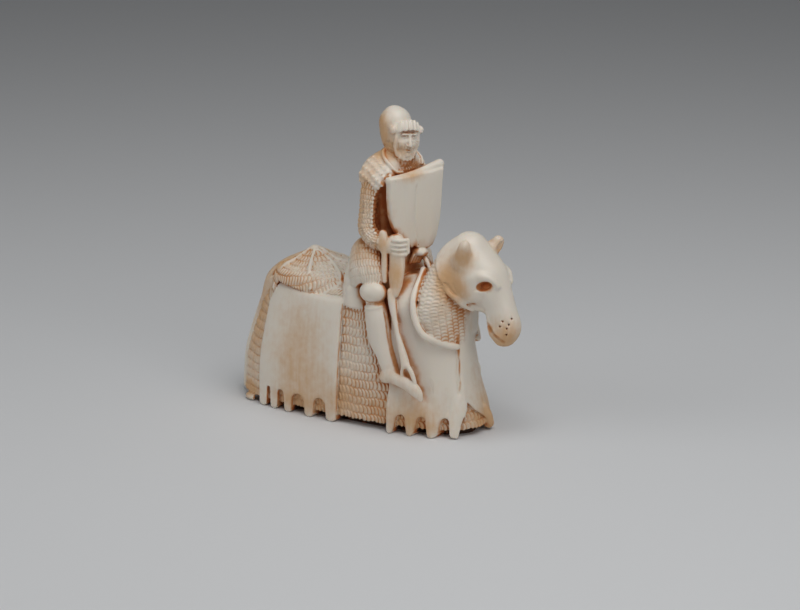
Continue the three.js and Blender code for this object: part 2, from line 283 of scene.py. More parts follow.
# Signed distance to a closed outline, below 0 inside.
def outlineDistance(outline, u, v):
    corners = np.array(outline, np.float32)
    following = np.roll(corners, -1, axis=0)
    best = np.full(len(u), np.inf, np.float32)
    inside = np.zeros(len(u), bool)
    for (a, b), (c, d) in zip(corners, following):
        du, dv = c - a, d - b
        t = np.clip(((u - a) * du + (v - b) * dv) / max(du * du + dv * dv, 1e-9), 0, 1)
        best = np.minimum(best, (u - a - t * du) ** 2 + (v - b - t * dv) ** 2)
        if b != d:
            crosses = (b > v) != (d > v)
            inside ^= crosses & (u < (c - a) * (v - b) / (d - b) + a)
    return np.where(inside, -1, 1) * np.sqrt(best)


def mirrored(points):
    return [(x, -y, z) for x, y, z in points]


# Every column of a table at a value of its first one.
def between(stations, key):
    rows = np.array(stations, float)
    return [np.interp(key, rows[:, 0], rows[:, i]).astype(np.float32) for i in range(1, rows.shape[1])]


# The same for a table of pairs.
def lookUp(pairs, key):
    return np.interp(key, *zip(*pairs)).astype(np.float32)


def smoothSections(sections, perSpan):
    return smoothPath([(0, 0, 0, *row) for row in sections], perSpan)[:, 3:]


# Distance to a squared-off oval of half sizes a and b, given the shares of them that a point is at.
def ovalDistance(u, v, a, b, power):
    whole = np.maximum((u ** power + v ** power) ** (1 / power), 1e-3)
    slope = np.sqrt(((u / whole) ** (power - 1) / a) ** 2 + ((v / whole) ** (power - 1) / b) ** 2)
    return (whole - 1) / slope


# Body of the horse under mail, and the plain cloth over it

body = {
    # height, rear end, front end, half width, squareness of the rear
    "sections": [(0, -34, 25, 11.1, 3.6), (5, -33.9, 23.6, 11.1, 3.3), (10, -33.6, 22.1, 11.1, 3),
                 (18, -31.4, 20.6, 10.6, 2.5), (24, -28.9, 19.2, 10, 2.3), (27, -26.6, 18, 9.2, 2.2),
                 (29.4, -19, 15, 6.6, 2.2)],
    "corner": 2.2,      # squareness of the front
    "top": 29.4,
    "hem": 1.5,         # height of the mail's hem
    "footInset": 2.6,   # how far the foot stands back under the hem
    "cloth": 0.9,       # thickness of the plain cloth over the mail
}
bodyRows = smoothSections(body["sections"], 6)


def bodyField(x, y, z, grow=0.0):
    rear, front, half, square = between(bodyRows, z)
    middle, along, across = (rear + front) / 2, (front - rear) / 2 + grow, half + grow
    power = np.where(x < middle, square, np.float32(body["corner"]))
    u, v = np.maximum(np.abs(x - middle) / along, 1e-3), np.maximum(np.abs(y) / across, 1e-3)
    return softMeet(ovalDistance(u, v, along, across, power), z - body["top"] - grow, 1.2)


dags = {
    "belly": 0.9,
    # ends: left and right end of each dag along the hem; arch: height of the notches between them;
    # taper: what a dag loses on each side towards its tip; top: the cloth's outline above
    "hind": {"ends": ((-25.7, -23.2), (-22.3, -20.1), (-18.3, -16.2), (-12.8, -10.4), (-7.3, -4.5)),
             "arch": 4.6, "taper": 0.12,
             "top": ((-4.1, 14), (-3.6, 27), (-14, 26.6), (-22.2, 27.4), (-24.5, 23), (-25.6, 12.5),
                     (-25.8, 6))},
    "fore": {"ends": ((7.6, 9.9), (12, 14.4), (16.4, 19.2), (20.9, 28)), "arch": 4.2, "taper": 0.42,
             "top": ((28, 14), (24, 31), (20.4, 31), (6.4, 33), (7.4, 22), (7.6, 12))},
    # height and half width of the tail cloth
    "tail": ((0, 4.9), (6, 4.7), (20, 3.6), (28, 4.4)),
    # middle and height of the grooves that run up from between the dags, and of the hairlines by them
    "grooves": ((10.9, -11.3, 7.2, 4), (13.9, -10.7, 7, 4.4), (16.4, -9.9, 8.2, 2), (20.7, -7, 8, 5)),
    "hairlines": ((9.4, -11.6, 8.4, 2.2), (11.8, -11.4, 8, 2.6), (12.6, -11.3, 7.6, 2)),
    # the long drying crack down the chest, and the swell beside it
    "crack": ((20.4, -3, 22.4), (21.3, -3.8, 16), (22.2, -4.7, 9.6)),
    "swell": ((21.6, -3, 16), (22.6, -3.6, 9), (23.4, -4.4, 5)),
}


# Outline of a cloth whose hem is cut into dags with arched notches between them.
def dagOutline(cloth):
    outline, ends = [], cloth["ends"]
    for i, (left, right) in enumerate(ends):
        middle, half = (left + right) / 2, (right - left) / 2 - cloth["taper"]
        for angle in np.linspace(math.pi, 2 * math.pi, 7):
            outline.append((middle + half * math.cos(angle), dags["belly"] * (1 + math.sin(angle))))
        if i < len(ends) - 1:
            radius = (ends[i + 1][0] - right) / 2
            for angle in np.linspace(math.pi, 0, 7):
                outline.append((right + radius + radius * math.cos(angle),
                                cloth["arch"] - radius + radius * math.sin(angle)))
    return outline + list(cloth["top"])


outlines = {name: dagOutline(dags[name]) for name in ("hind", "fore")}

# Mail shows in a three-cornered opening at the front of the chest.
apron = [(-3.2, 7.4), (-5.3, 3), (-6.6, -1), (5.6, -1), (4.2, 1.3), (1.4, 3.4), (-1.4, 5.4)]

# Folds of the front cloth: spacing, x of a crest, height where they end, and depths of the folds,
# of the swell over the breast and of the wander of the whole cloth.
folds = {"spacing": 4.5, "crest": 8.7, "top": 15, "depth": 0.3, "breast": (22, 13), "swell": 0.25,
         "wander": 0.12}


def foldDepth(x, z):
    low = smooth(folds["top"] - z, 0, 12)
    wave = np.cos((x - folds["crest"]) * 2 * math.pi / folds["spacing"])
    breastX, breastTop = folds["breast"]
    breast = np.exp(-((x - breastX) / 2) ** 2) * smooth(breastTop - z, 0, 10)
    sag = folds["wander"] * np.sin(0.35 * x + 1) * np.sin(0.18 * z + 0.6)
    return smooth(x, 6, 9) * (folds["depth"] * low * wave + folds["swell"] * breast) + sag


def clothField(name, x, y, z):
    skin = bodyField(x, y, z) - body["cloth"] - foldDepth(x, z)
    return softMeet(skin, outlineDistance(outlines[name], x, z), 0.45)


def hindField(x, y, z):
    return softMeet(clothField("hind", x, y, z), y + 1, 0.3)


def tailField(x, y, z):
    skin = bodyField(x, y, z) - body["cloth"] - 0.1
    wide = lookUp(dags["tail"], z)
    return softMeet(softMeet(skin, np.maximum(np.abs(y) - wide, x + 24), 0.5), 0.9 - z, 0.3)


def foreField(x, y, z):
    panel = clothField("fore", x, y, z)
    opening = np.where(x > 20.5, outlineDistance(apron, y, z), sculpt["apart"])
    return softMeet(panel, -opening, 0.4)


def mailBodyField(x, y, z):
    hem = body["hem"] + 0.12 * np.sin(x * 1.9) + 0.1 * np.sin(x * 4.3 + 1)
    return softMeet(bodyField(x, y, z), hem - z, 0.3)


def footField(x, y, z):
    return softMeet(bodyField(x, y, z, -body["footInset"]), z - 2.4, 0.2)


# Mail of the body where no cloth covers it, on the flank as it is drawn in.
def mailSkinField(x, y, z):
    side = -np.abs(y)
    sunk = flankField(x, side, z)
    cloths = np.minimum(np.minimum(hindField(x, side, z), foreField(x, y, z)), tailField(x, y, z))
    covered = (cloths + sunk < 0.12) | (croupField(x, y, z) < 0.5)
    return np.where(covered, sculpt["apart"], mailBodyField(x, y, z) + sunk)


def layBody():
    work("join", footField, (-36, -13, 0), (27, 13, 2.6), 0.2)
    work("join", mailBodyField, (-36, -13, 0), (27, 13, 32), 0.2)
    work("join", hindField, (-28, -14, 0), (-2, -1, 30), 0.15, both=True)
    work("join", foreField, (5, -14, 0), (28, 14, 34), 0.15)
    work("join", tailField, (-38, -6, 0), (-22, 6, 34), 0.2)
    work("press", flankField, (-12, -14, 0), (26, -6, 36), 0.1, both=True)
    # The mail flares at the rear corner of its hem, and the front cloth ends in a thick lappet.
    limb([(-28.2, -9.7, 0.7, 0.5), (-29.4, -9.3, 0.7, 0.6), (-30.2, -8.8, 0.6, 0.45)], blend=1.1)
    limb([(24, 1.9, 5.6, 0.6), (24.3, 2.6, 3.4, 1), (24.2, 3.2, 1.5, 1.15)], blend=0.6)
    for x, y, z, height in dags["grooves"]:
        score([(x, y, z - height / 2), (x + 0.2, y + 0.1, z), (x - 0.1, y + 0.2, z + height / 2)],
              0.5, 0.2)
    for x, y, z, height in dags["hairlines"]:
        score([(x, y, z - height / 2), (x + 0.15, y, z + height / 2)], 0.26, 0.16)
    score(dags["crack"], 0.42, 0.75)
    score(dags["swell"], 0.9, -0.25)


# Mail over the croup, with a plain knob on top and raised bands running down from it

croup = {
    "knob": (-18.2, 0, 33.4),
    # height, middle, half length, half width
    "sections": [(24, -15.2, 12.2, 10.1), (27.4, -15.2, 11.7, 9.5), (28.8, -15.3, 11.2, 9.1),
                 (29.7, -15.8, 9.9, 8.3), (30.6, -16.8, 7, 6.5), (31.4, -17.5, 4.6, 4.9),
                 (32.7, -17.9, 2.5, 2.5), (33.5, -18.2, 0.9, 0.9)],
    "corner": 2.2, "top": 33.5, "edgeTop": 26.6,
    # height, and the way to the mound's face as a share of the level way, less as it leans in
    "steep": ((24, 1), (28, 0.9), (31, 0.62), (33, 0.45)),
    # top edge of the side cloths, where the mound stops
    "hem": ((-24.5, 23), (-22.2, 27.4), (-14, 26.7), (-4.2, 27)),
    "band": 0.5,
    # places on the mound that each band runs through
    "bands": (((-17.6, -1), (-16.4, -3.8), (-14.8, -6.7), (-12.6, -9.3)),
              ((-19, -1), (-20.5, -3.6), (-22.3, -6), (-23.6, -7.4)),
              ((-17, -0.6), (-13.6, -0.9), (-10.4, -2.8), (-7.6, -5.4), (-6, -7.8))),
    "strip": ((-19.2, 0, 32.6, 1.1, 0.8), (-22.4, 0, 30.9, 2.2, 1), (-25.4, 0, 29, 3.3, 1.3),
              (-27.7, 0, 26.6, 4, 1.6), (-28.9, 0, 23.6, 3.9, 1.8), (-29.9, 0, 19, 3.7, 1.8)),
}
croupRows = smoothSections(croup["sections"], 6)


def croupField(x, y, z):
    middle, along, across = between(croupRows, z)
    flat = ovalDistance(np.abs(x - middle) / along, np.abs(y) / across, along, across, croup["corner"])
    mound = softMeet(flat * lookUp(croup["steep"], z), z - croup["top"], 0.5)
    return softMeet(mound, lookUp(croup["hem"], x) - z, 0.2)


# Height of the mound over a place in its plan.
def croupTop(x, y):
    heights = np.linspace(24, 34, 101).astype(np.float32)
    inside = croupField(np.full(101, x, np.float32), np.full(101, y, np.float32), heights) < 0
    return float(heights[inside].max()) if inside.any() else croup["edgeTop"]


def layCroup():
    work("join", croupField, (-29, -11, 22), (-3, 11, 34), 0.3)
    ball(croup["knob"], (1.15, 1.15, 0.8), blend=0.5)
    for band in croup["bands"]:
        limb([(x, y, croupTop(x, y), croup["band"]) for x, y in band], blend=0.3, both=True, perSpan=3)
    # The tail cloth runs up to the knob as one plain strip.
    limb(croup["strip"], blend=0.3)


# Neck in mail, with the rolled edge where it spreads over the shoulders

neck = {
    "stations": ((16.6, 0, 21.5, 8, 4.6), (16, 0, 27, 9.1, 4.9), (16.5, 0, 31.6, 7, 4.6),
                 (18.6, 0, 36, 4.6, 4.2), (21.4, 0, 39, 3.6, 3.6)),
    "edge": ((11.6, -2.6, 33.9), (12.6, -6.6, 31.2), (13.2, -8.7, 28.6), (14.2, -9.4, 25.2),
             (16, -9.1, 22.2), (18.1, -7.2, 20.6), (19.6, -5.6, 19.7), (20.9, -3.9, 19.2)),
    "edgeRadius": 0.68,
    "withers": ((9.6, 0, 26.6), (6.6, 9.3, 6.4)),
}


def layNeck():
    ball(*neck["withers"], blend=0.9)
    neck["field"] = limb(neck["stations"], blend=0.5)
    limb([(*point, neck["edgeRadius"]) for point in neck["edge"]], blend=0.65, both=True)
    # A short crack beside the front end of the edge.
    score([(20.6, 1.2, 25), (21, 0.8, 22.6), (21.4, 0.6, 20.4)], 0.35, 0.2)


# Horse's head in plate: one smooth shell with brows, ears, eyes, nostrils and mouth

head = {
    "top": (22, 0, 39), "lean": 33.7, "corner": 2.25,
    "ends": (-3.2, 20.7),
    # distance down the face, centre fore and aft, half depth, half width
    "sections": [(-3.2, -0.6, 0.6, 0.7), (-2.6, -0.5, 2, 1.9), (-1.6, -0.7, 3.4, 3.1), (0, -1.2, 4.4, 4.2),
                 (3.2, -1, 5, 4.8), (6.4, -0.4, 4.9, 4.5), (9.4, -0.3, 4.2, 3.8), (12.4, -0.3, 3.4, 3.0),
                 (15.4, -0.9, 3.3, 2.8), (17.8, -1.6, 3.4, 2.9), (19.3, -2, 2.8, 2.5), (20.2, -2.3, 1.7, 1.7),
                 (20.7, -2.4, 0.6, 0.6)],
    # distance down the face, and the way to its surface as a share of the level way
    "steep": ((-3.2, 0.45), (-1.6, 0.75), (1, 1), (17, 1), (19.4, 0.7), (20.7, 0.45)),
    # The plate reaches back over the poll as a close hood: its rim, and the slanted plane of the rim.
    "rim": ((15.2, 0, 38.4), (16.4, -3.2, 36.4), (17.3, -4.6, 34.4), (18.4, -5.5, 32.4), (19.9, -5.5, 30.9),
            (21.4, -5, 29.8), (22.7, -3.9, 28.4), (23.5, -2.2, 27.3)),
    "rimPlane": (0.808, 0.589, 34.5), "hoodStep": 0.3,
    "pits": ((32.6, -1.4, 26.5), (31.2, -2.6, 26), (32.3, -2, 25.4), (30.7, -2.8, 24.9), (32, -2.3, 24.6),
             (31.9, -2.2, 23.3)),
}
headRows = smoothSections(head["sections"], 5)
headLean = math.radians(head["lean"])


def headField(x, y, z):
    dx, dz = x - head["top"][0], z - head["top"][2]
    drop = dx * math.sin(headLean) - dz * math.cos(headLean)
    fore = dx * math.cos(headLean) + dz * math.sin(headLean)
    offset, deep, wide = between(headRows, drop)
    flat = ovalDistance(np.abs(fore - offset) / deep, np.abs(y) / wide, deep, wide, head["corner"])
    first, last = head["ends"]
    beyond = np.maximum(np.maximum(first - drop, drop - last), 0)
    past = np.sqrt(np.maximum(flat, 0) ** 2 + beyond ** 2)
    return np.where(beyond > 0, past, flat * lookUp(head["steep"], drop))


def layHead():
    work("join", headField, (14, -6, 17), (36, 6, 43), 0.35)
    a, b, reach = head["rimPlane"]

    def hood(x, y, z):
        return softMeet(neck["field"](x, y, z) - head["hoodStep"], reach - a * x - b * z, 0.2)

    work("join", hood, (13, -8, 26), (28, 8, 44), 0.6)
    limb([(*point, 0.5) for point in head["rim"]], blend=0.2, both=True)
    # The jaw, set back under the cheek, and the hood between its rim and the neck.
    limb([(19, 0, 30.6, 4.7, 2.4), (21.4, 0, 28.8, 4, 2), (24, 0, 28.2, 2.8, 1.5), (26.8, 0, 27.6, 2.4, 1.3)],
         blend=0.4)
    limb([(18.6, -3.6, 33.6, 1.4), (20, -3.8, 31.8, 1.45), (21.8, -3.4, 30, 1.45)], blend=0.6, both=True)
    # A fine line runs along inside the rim.
    inner = [(x + 0.8, y + 0.1, z + 0.5) for x, y, z in head["rim"][1:-1]]
    score(inner, 0.36, 0.26, both=True)
    # Cheek plate, full at the back, with a lower edge that stands off the jaw behind it.
    ball((23.2, -3.7, 32.8), (4.1, 1.7, 3.7), tilt=24, blend=0.9, both=True)
    limb([(22.6, -5.9, 27.8, 0.8), (24, -5.6, 28, 1.1), (25.4, -5, 28.3, 1.25), (27, -4.1, 27.3, 1.1)],
         kind="cut", blend=0.3, both=True)
    score([(20.6, -5.4, 32.8), (21.6, -5.5, 31.3), (22.9, -5.2, 30), (24.1, -4.6, 29.2)],
          0.4, 0.12, both=True)
    # Brow and the bony lump behind the eye.
    limb([(25.2, -4, 35.2, 0.6), (26.8, -4.1, 35.2, 0.8), (28.6, -3.4, 34.7, 0.7), (29.9, -2.5, 33.2, 0.4)],
         blend=0.9, both=True)
    ball((25, -4.2, 34.3), (1.2, 0.8, 0.9), blend=0.8, both=True)
    # Eye: a deep almond that rises to the front, with a small ball at the bottom of it.
    ball((27.7, -4.5, 33.2), (1.75, 1.75, 1.05), turn=15, tilt=-17, kind="cut", blend=0.15, both=True)
    limb([(26.6, -5, 32.7, 0.5), (25.7, -5.1, 32.3, 0.25)], kind="cut", blend=0.15, both=True)
    ball((27.4, -3, 33), (1.0, 0.6, 0.6), turn=15, tilt=-17, blend=0.15, both=True)
    # Lower lip and chin lie close behind the muzzle.
    limb([(27.5, 0, 26.3, 2.5, 1.1), (27.8, 0, 24.2, 2.5, 1.3), (28.3, 0, 22.6, 2.3, 1.35),
          (29.4, 0, 21.7, 1.8, 1.1)], blend=0.3)
    score([(27.2, -2.7, 25), (27.7, -2.7, 24.2), (29.1, -2.8, 23.1), (30.3, -2.6, 22.3), (31.1, -2, 21.6)],
          0.45, 0.85, both=True)
    ball((27.2, -2.6, 24.5), (0.6, 0.8, 0.5), kind="cut", blend=0.2, both=True)
    # Raised edge of the muzzle plate.
    score([(27.2, -2.9, 27.4), (27.7, -3, 25.4), (28.6, -3.1, 24.1), (29.7, -3, 23.2), (30.8, -2.6, 22.5)],
          0.5, -0.2, both=True)
    for pit in head["pits"]:
        ball(pit, (0.9, 0.22, 0.22), turn=-52, kind="cut", blend=0.1)
    layEars()


def layEars():
    # Each ear is a short leaf with its hollow turned forward.
    limb([(21.8, -3.9, 37.4, 1.5, 2), (22.7, -4.5, 39.4, 1.3, 1.6), (23.2, -4.8, 41, 1.1, 1.25),
          (23.4, -4.8, 41.6, 0.8, 0.8)], blend=1.1)
    limb([(24.9, -5.5, 41.2, 0.4), (24.8, -5.6, 40.2, 0.6), (24.2, -5.5, 38.9, 0.4)], kind="cut", blend=0.35)
    limb([(23.6, 3.2, 38.3, 1.9, 1.9), (24.7, 4.3, 39.6, 1.5, 1.5), (25.2, 4.7, 40.5, 1.2, 1.2)], blend=0.6)
    limb([(26.1, 3.6, 39.2, 0.5), (26.4, 4.2, 40.2, 0.5)], kind="cut", blend=0.35)


# Rider: trunk and skirt in mail, hood, helmet and face

rider = {
    "trunk": ((1.6, 0, 29, 9.4, 6), (1.9, 0, 36, 7.6, 5.2), (2.2, 0, 42, 5.4, 4), (2.4, 0, 48, 5.9, 4.1),
              (2.4, 0, 52, 5.8, 3.8), (2.7, 0, 54.6, 4.2, 3.1)),
    "shoulders": ((0.8, -6.3, 53.1, 2.4), (1.2, -4.2, 54.4, 2.9), (2.4, 0, 55.4, 3.1), (1.2, 4.2, 54.4, 2.9),
                  (0.8, 6.3, 53.1, 2.4)),
    "hood": ((2.9, 0, 53.4, 4.6, 4.2), (3.2, 0, 55.6, 3.8, 3.7), (4, -0.2, 57.6, 3.35, 3.3),
             (4.6, -0.4, 59.6, 3.4, 3.4), (4.3, -0.3, 61.6, 3.4, 3.4)),
    "headSet": (-26, 3, -6),   # turn, tilt, roll
    "headMiddle": (4.6, -0.5, 60),
    "bowl": ((2.85, -0.3, 63.62), 3.3),
    "collar": ((2.15, -3, 58.3), (2.5, -4.2, 57.7), (3.85, -5.2, 56.7), (5.36, -5.3, 55.5), (6.2, -4.6, 54.3),
               (6.4, -3, 53.9)),
    # rows of links round the shoulder, from the collar outwards, and what beads() makes of each:
    # radius, pitch, blend and how deep they sit
    "links": (0.45, 0.92, 0.04, 0.38),
    "shoulderRows": (
        ((0.9, -5.3, 56.8), (2.5, -6, 56.3), (4.3, -6.4, 55), (5.7, -6.2, 53.7)),
        ((0.4, -6.2, 56), (1.9, -6.9, 55.4), (3.9, -7.2, 54.1), (5.3, -7, 52.8)),
        ((0, -7.1, 54.9), (1.4, -7.7, 54.4), (3.3, -8, 53.1), (4.9, -7.7, 51.8)),
        ((-0.3, -7.9, 53.8), (0.9, -8.4, 53.3), (2.8, -8.6, 52.1), (4.3, -8.3, 50.9)),
        ((-0.3, -8.3, 52.4), (0.7, -8.5, 52), (2.2, -8.7, 51), (3.2, -8.5, 50.1)),
    ),
}
headAxes = turnMatrix(*rider["headSet"])


# A place on the head: forward of its middle, to its left, and up.
def faceAt(fore, left, up):
    return tuple(np.array(rider["headMiddle"]) + headAxes @ np.array([fore, left, up]))


# Locks of hair combed down over the brow from under the helmet, and curled back at the temples.
def fringeField(x, y, z):
    fore, left, up = toLocal(x, y, z, rider["headMiddle"], headAxes)
    whole = np.sqrt(((fore - 0.15) / 3.7) ** 2 + (left / 3.65) ** 2 + ((up - 1.3) / 4.6) ** 2)
    strands = 0.12 * np.cos(left * 6 + 1.2 * np.sin(up)) * smooth(fore, 0.3, 1.6)
    skin = (whole - 1) * 3.7 - strands
    slant = 0.652 * up - 0.758 * fore - 1.7
    return softMeet(softMeet(skin, slant, 0.5), 2.9 - 0.11 * left ** 2 - up, 0.5)


# A ball on the head, set to its turn, tilt and roll.
def spot(place, radii, kind="join", blend=0.25, nod=0):
    turn, tilt, roll = rider["headSet"]
    ball(faceAt(*place), radii, turn=turn, tilt=tilt + nod, roll=roll, kind=kind, blend=blend)


def layFace():
    # A long even oval, with its features on the usual thirds: brow, foot of the nose, chin.
    spot((0.7, 0, -0.1), (2.75, 2.5, 3.5), blend=0.3)
    spot((1.7, 0, -2), (1.5, 1.6, 1.2), blend=0.6)
    for side in (-1, 1):
        spot((3.45, side * 1.05, 1.4), (0.85, 0.75, 0.48), kind="cut", blend=0.4)
        spot((2.5, side * 1.05, 1.36), (0.5, 0.52, 0.3), blend=0.1)
        spot((2.95, side * 1.05, 2.05), (0.5, 0.85, 0.22), blend=0.25, nod=-6)
        score([faceAt(3, side * 0.5, 1.5), faceAt(3.05, side * 1.05, 1.72), faceAt(2.75, side * 1.6, 1.5)],
              0.2, 0.12)
        spot((2.45, side * 1.35, 0.05), (0.8, 0.8, 0.85), blend=0.6)
        spot((3.55, side * 0.38, -0.22), (0.32, 0.26, 0.24), blend=0.2)
    limb([(*faceAt(2.95, 0, 2), 0.28), (*faceAt(3.4, 0, 0.9), 0.33), (*faceAt(3.85, 0, -0.1), 0.4)],
         blend=0.28, perSpan=3)
    spot((3.1, 0, -0.92), (0.55, 0.78, 0.17), blend=0.18)
    spot((3.05, 0, -1.42), (0.55, 0.66, 0.22), blend=0.18)
    score([faceAt(3, -0.85, -1.2), faceAt(3.6, 0, -1.16), faceAt(3, 0.85, -1.2)], 0.28, 0.32)
    spot((2.75, 0, -2.35), (0.7, 0.8, 0.55), blend=0.4)


def layRider():
    rider["trunkField"] = limb(rider["trunk"], blend=0.4)
    limb(rider["shoulders"], blend=0.7)
    for side in (-1, 1):
        limb([(3.2, side * 2.8, 55.2, 2.5), (3.6, side * 5, 53.4, 2.4), (3, side * 6.2, 52.4, 2.4)],
             blend=0.6)
    rider["hoodField"] = limb(rider["hood"], blend=0.5)
    # The hood is open over the face.
    spot((3.4, 0, 0), (2.1, 2.65, 3.3), kind="cut", blend=0.3)
    layFace()
    # Rolled edge of that opening.
    for side in (-1, 1):
        rim = ((1.9, 2.35, 2.3), (2.1, 2.6, 0.6), (2, 2.5, -1), (2.2, 1.9, -2.6))
        limb([(*faceAt(fore, side * left, up), 0.42) for fore, left, up in rim], blend=0.3)
    # Short beard: a row of small locks along the jaw.
    for step in range(-4, 5):
        angle = math.radians(step * 19)
        fore, left, up = 0.9 + 2 * math.cos(angle), 2.35 * math.sin(angle), -3.1 + 1.5 * (step / 4) ** 2
        limb([(*faceAt(fore, left, up + 0.4), 0.4), (*faceAt(fore + 0.1, left, up - 0.25), 0.42)],
             blend=0.12, perSpan=2)
    # Helmet: a round bowl set back on the head, drawn up to a low point, with its edge lower behind.
    middle, radius = rider["bowl"]
    x, y, z = middle
    ball(middle, (radius, radius, radius - 0.04), blend=0.2)
    limb([(x, y, z, radius, radius), (x + 0.1, y + 0.1, z - 1.8, radius + 0.05, radius + 0.05),
          (x + 0.3, y + 0.1, z - 3.1, radius - 0.1, radius - 0.1)], blend=0.2, perSpan=2)
    ball((x - 0.4, y, z + 2.5), (1.2, 1.2, 0.75), blend=0.8)
    work("join", fringeField, (0, -6, 61), (10, 5, 67), 0.12)
    for side in (-1, 1):
        spot((1.3, side * 3.3, 2.6), (1, 0.6, 0.85), blend=0.3)
    # Longer locks hang under the chin, over the front of the neck.
    for step in range(-2, 3):
        top = faceAt(2.7 - 0.12 * step ** 2, step * 0.75, -3.3)
        low = faceAt(2.3 - 0.12 * step ** 2, step * 0.6, -5.2 + 0.15 * abs(step))
        limb([(*top, 0.45), (*low, 0.36)], blend=0.1, perSpan=2)
    # Plain rolled edge of the hood on the shoulders, with the rows of links below it.
    for edge in (rider["collar"], mirrored(rider["collar"][:5])):
        limb([(*point, 0.42) for point in edge], blend=0.25)
    for row in rider["shoulderRows"]:
        for points in (row, mirrored(row)):
            beads(points, *rider["links"])


# Shield: a board across the chest, its top edge rolled forward, its foot broken off

shield = {
    "origin": (8.2, -0.6, 37.2), "turn": -20, "lean": 2, "front": 1.7, "back": -0.5,
    "outline": ((-7.5, 16.4), (-7.4, 12), (-7.0, 8.4), (-6.2, 5.8), (-4.9, 3.6), (-3.4, 1.9), (-1.9, 1.1),
                (-1.3, 1.5), (-0.2, 0.8), (2.2, 0.5), (3.4, 1.1), (4.4, 2.8), (5.2, 5.6), (5.6, 9), (5.7, 13),
                (6, 17.2)),
    "roll": ((6.3, -7.4, 52.9, 0.7, 0.75), (8.2, -3, 53.5, 0.75, 0.8), (9.6, 1.4, 54.3, 0.85, 0.9),
             (10.5, 4.7, 54.9, 1, 1.05)),
    # places across and up the board: the crack that wanders down from the middle, the little hole at
    # the corner, and the lines of two faint long facets with the depth of each
    "crack": ((-1.3, 14.2), (-1.4, 10.6), (-1.5, 6.6), (-1.0, 3.8), (-0.5, 1.4)),
    "hole": (-6.2, 15.7),
    "facets": ((((2.2, 13.6), (2, 9), (2.1, 4)), 0.12), (((-4.2, 14), (-4, 9), (-3.2, 4)), 0.1)),
}
shieldMatrix = turnMatrix(shield["turn"], shield["lean"])


def shieldField(x, y, z):
    out, across, up = toLocal(x, y, z, shield["origin"], shieldMatrix)
    # The face is nearly flat, in three soft planes, and its edge is thinner than its middle.
    bow = 0.5 * (across / 7) ** 2 + 0.12 * np.cos(across * 1.1 + 0.3)
    face = out - shield["front"] + bow
    back = shield["back"] - out - 0.25 * (across / 7) ** 2
    return softMeet(softMeet(face, back, 0.3), outlineDistance(shield["outline"], across, up), 0.5)


# A place on the board's face, or at another distance out from its middle.
def shieldPoint(across, up, out=shield["front"]):
    local = np.array([out, across, up])
    return tuple(shieldMatrix @ local + np.array(shield["origin"]))


def layShield():
    # Recess between arm, chest and shield, cut before the board goes on.
    limb([(6.4, -5.2, 51, 1.6, 2), (6, -5.8, 47, 2, 2.2), (6, -5.4, 43, 1.8, 2)], kind="cut", blend=0.5)
    limb([(4.7, -6.6, 50.6, 1.3, 1.5), (4.5, -6.9, 47, 1.5, 1.7), (4.7, -6.6, 43.4, 1.3, 1.5)],
         kind="cut", blend=0.5)
    limb([(2.8, -0.6, 46, 4.6, 2.6), (7, -0.2, 45.8, 4, 2)], blend=0.4)
    work("join", shieldField, (5, -9, 36), (13, 6, 56), 0.25)
    limb(shield["roll"], blend=0.45)
    score([shieldPoint(across, up, 1.6) for across, up in shield["crack"]], 0.28, 0.3)
    ball(shieldPoint(*shield["hole"]), (0.7, 0.45, 0.4), kind="cut", blend=0.2)
    for facet, depth in shield["facets"]:
        score([shieldPoint(across, up) for across, up in facet], 0.9, depth)


# Arms in mail, hands bare

arms = {
    "right": ((2.2, -4.6, 53.4, 2, 2.3), (1.3, -6.9, 50.8, 1.9, 1.95), (1, -7.7, 46, 1.6, 1.7),
              (1.1, -8, 42.4, 1.75, 1.9), (2.8, -7.9, 40.4, 1.9, 1.9), (4.8, -7.5, 39.7, 1.8, 1.8)),
    "left": ((2.4, 5, 53.2, 2.3, 2.5), (2.4, 6.8, 50.4, 2.4, 2.4), (2.8, 7.4, 45, 2.3, 2.3),
             (4, 6.6, 41, 2.2, 2.2), (6.4, 3.6, 38, 1.9, 1.9), (7.6, 1.2, 37, 1.6, 1.6)),
}


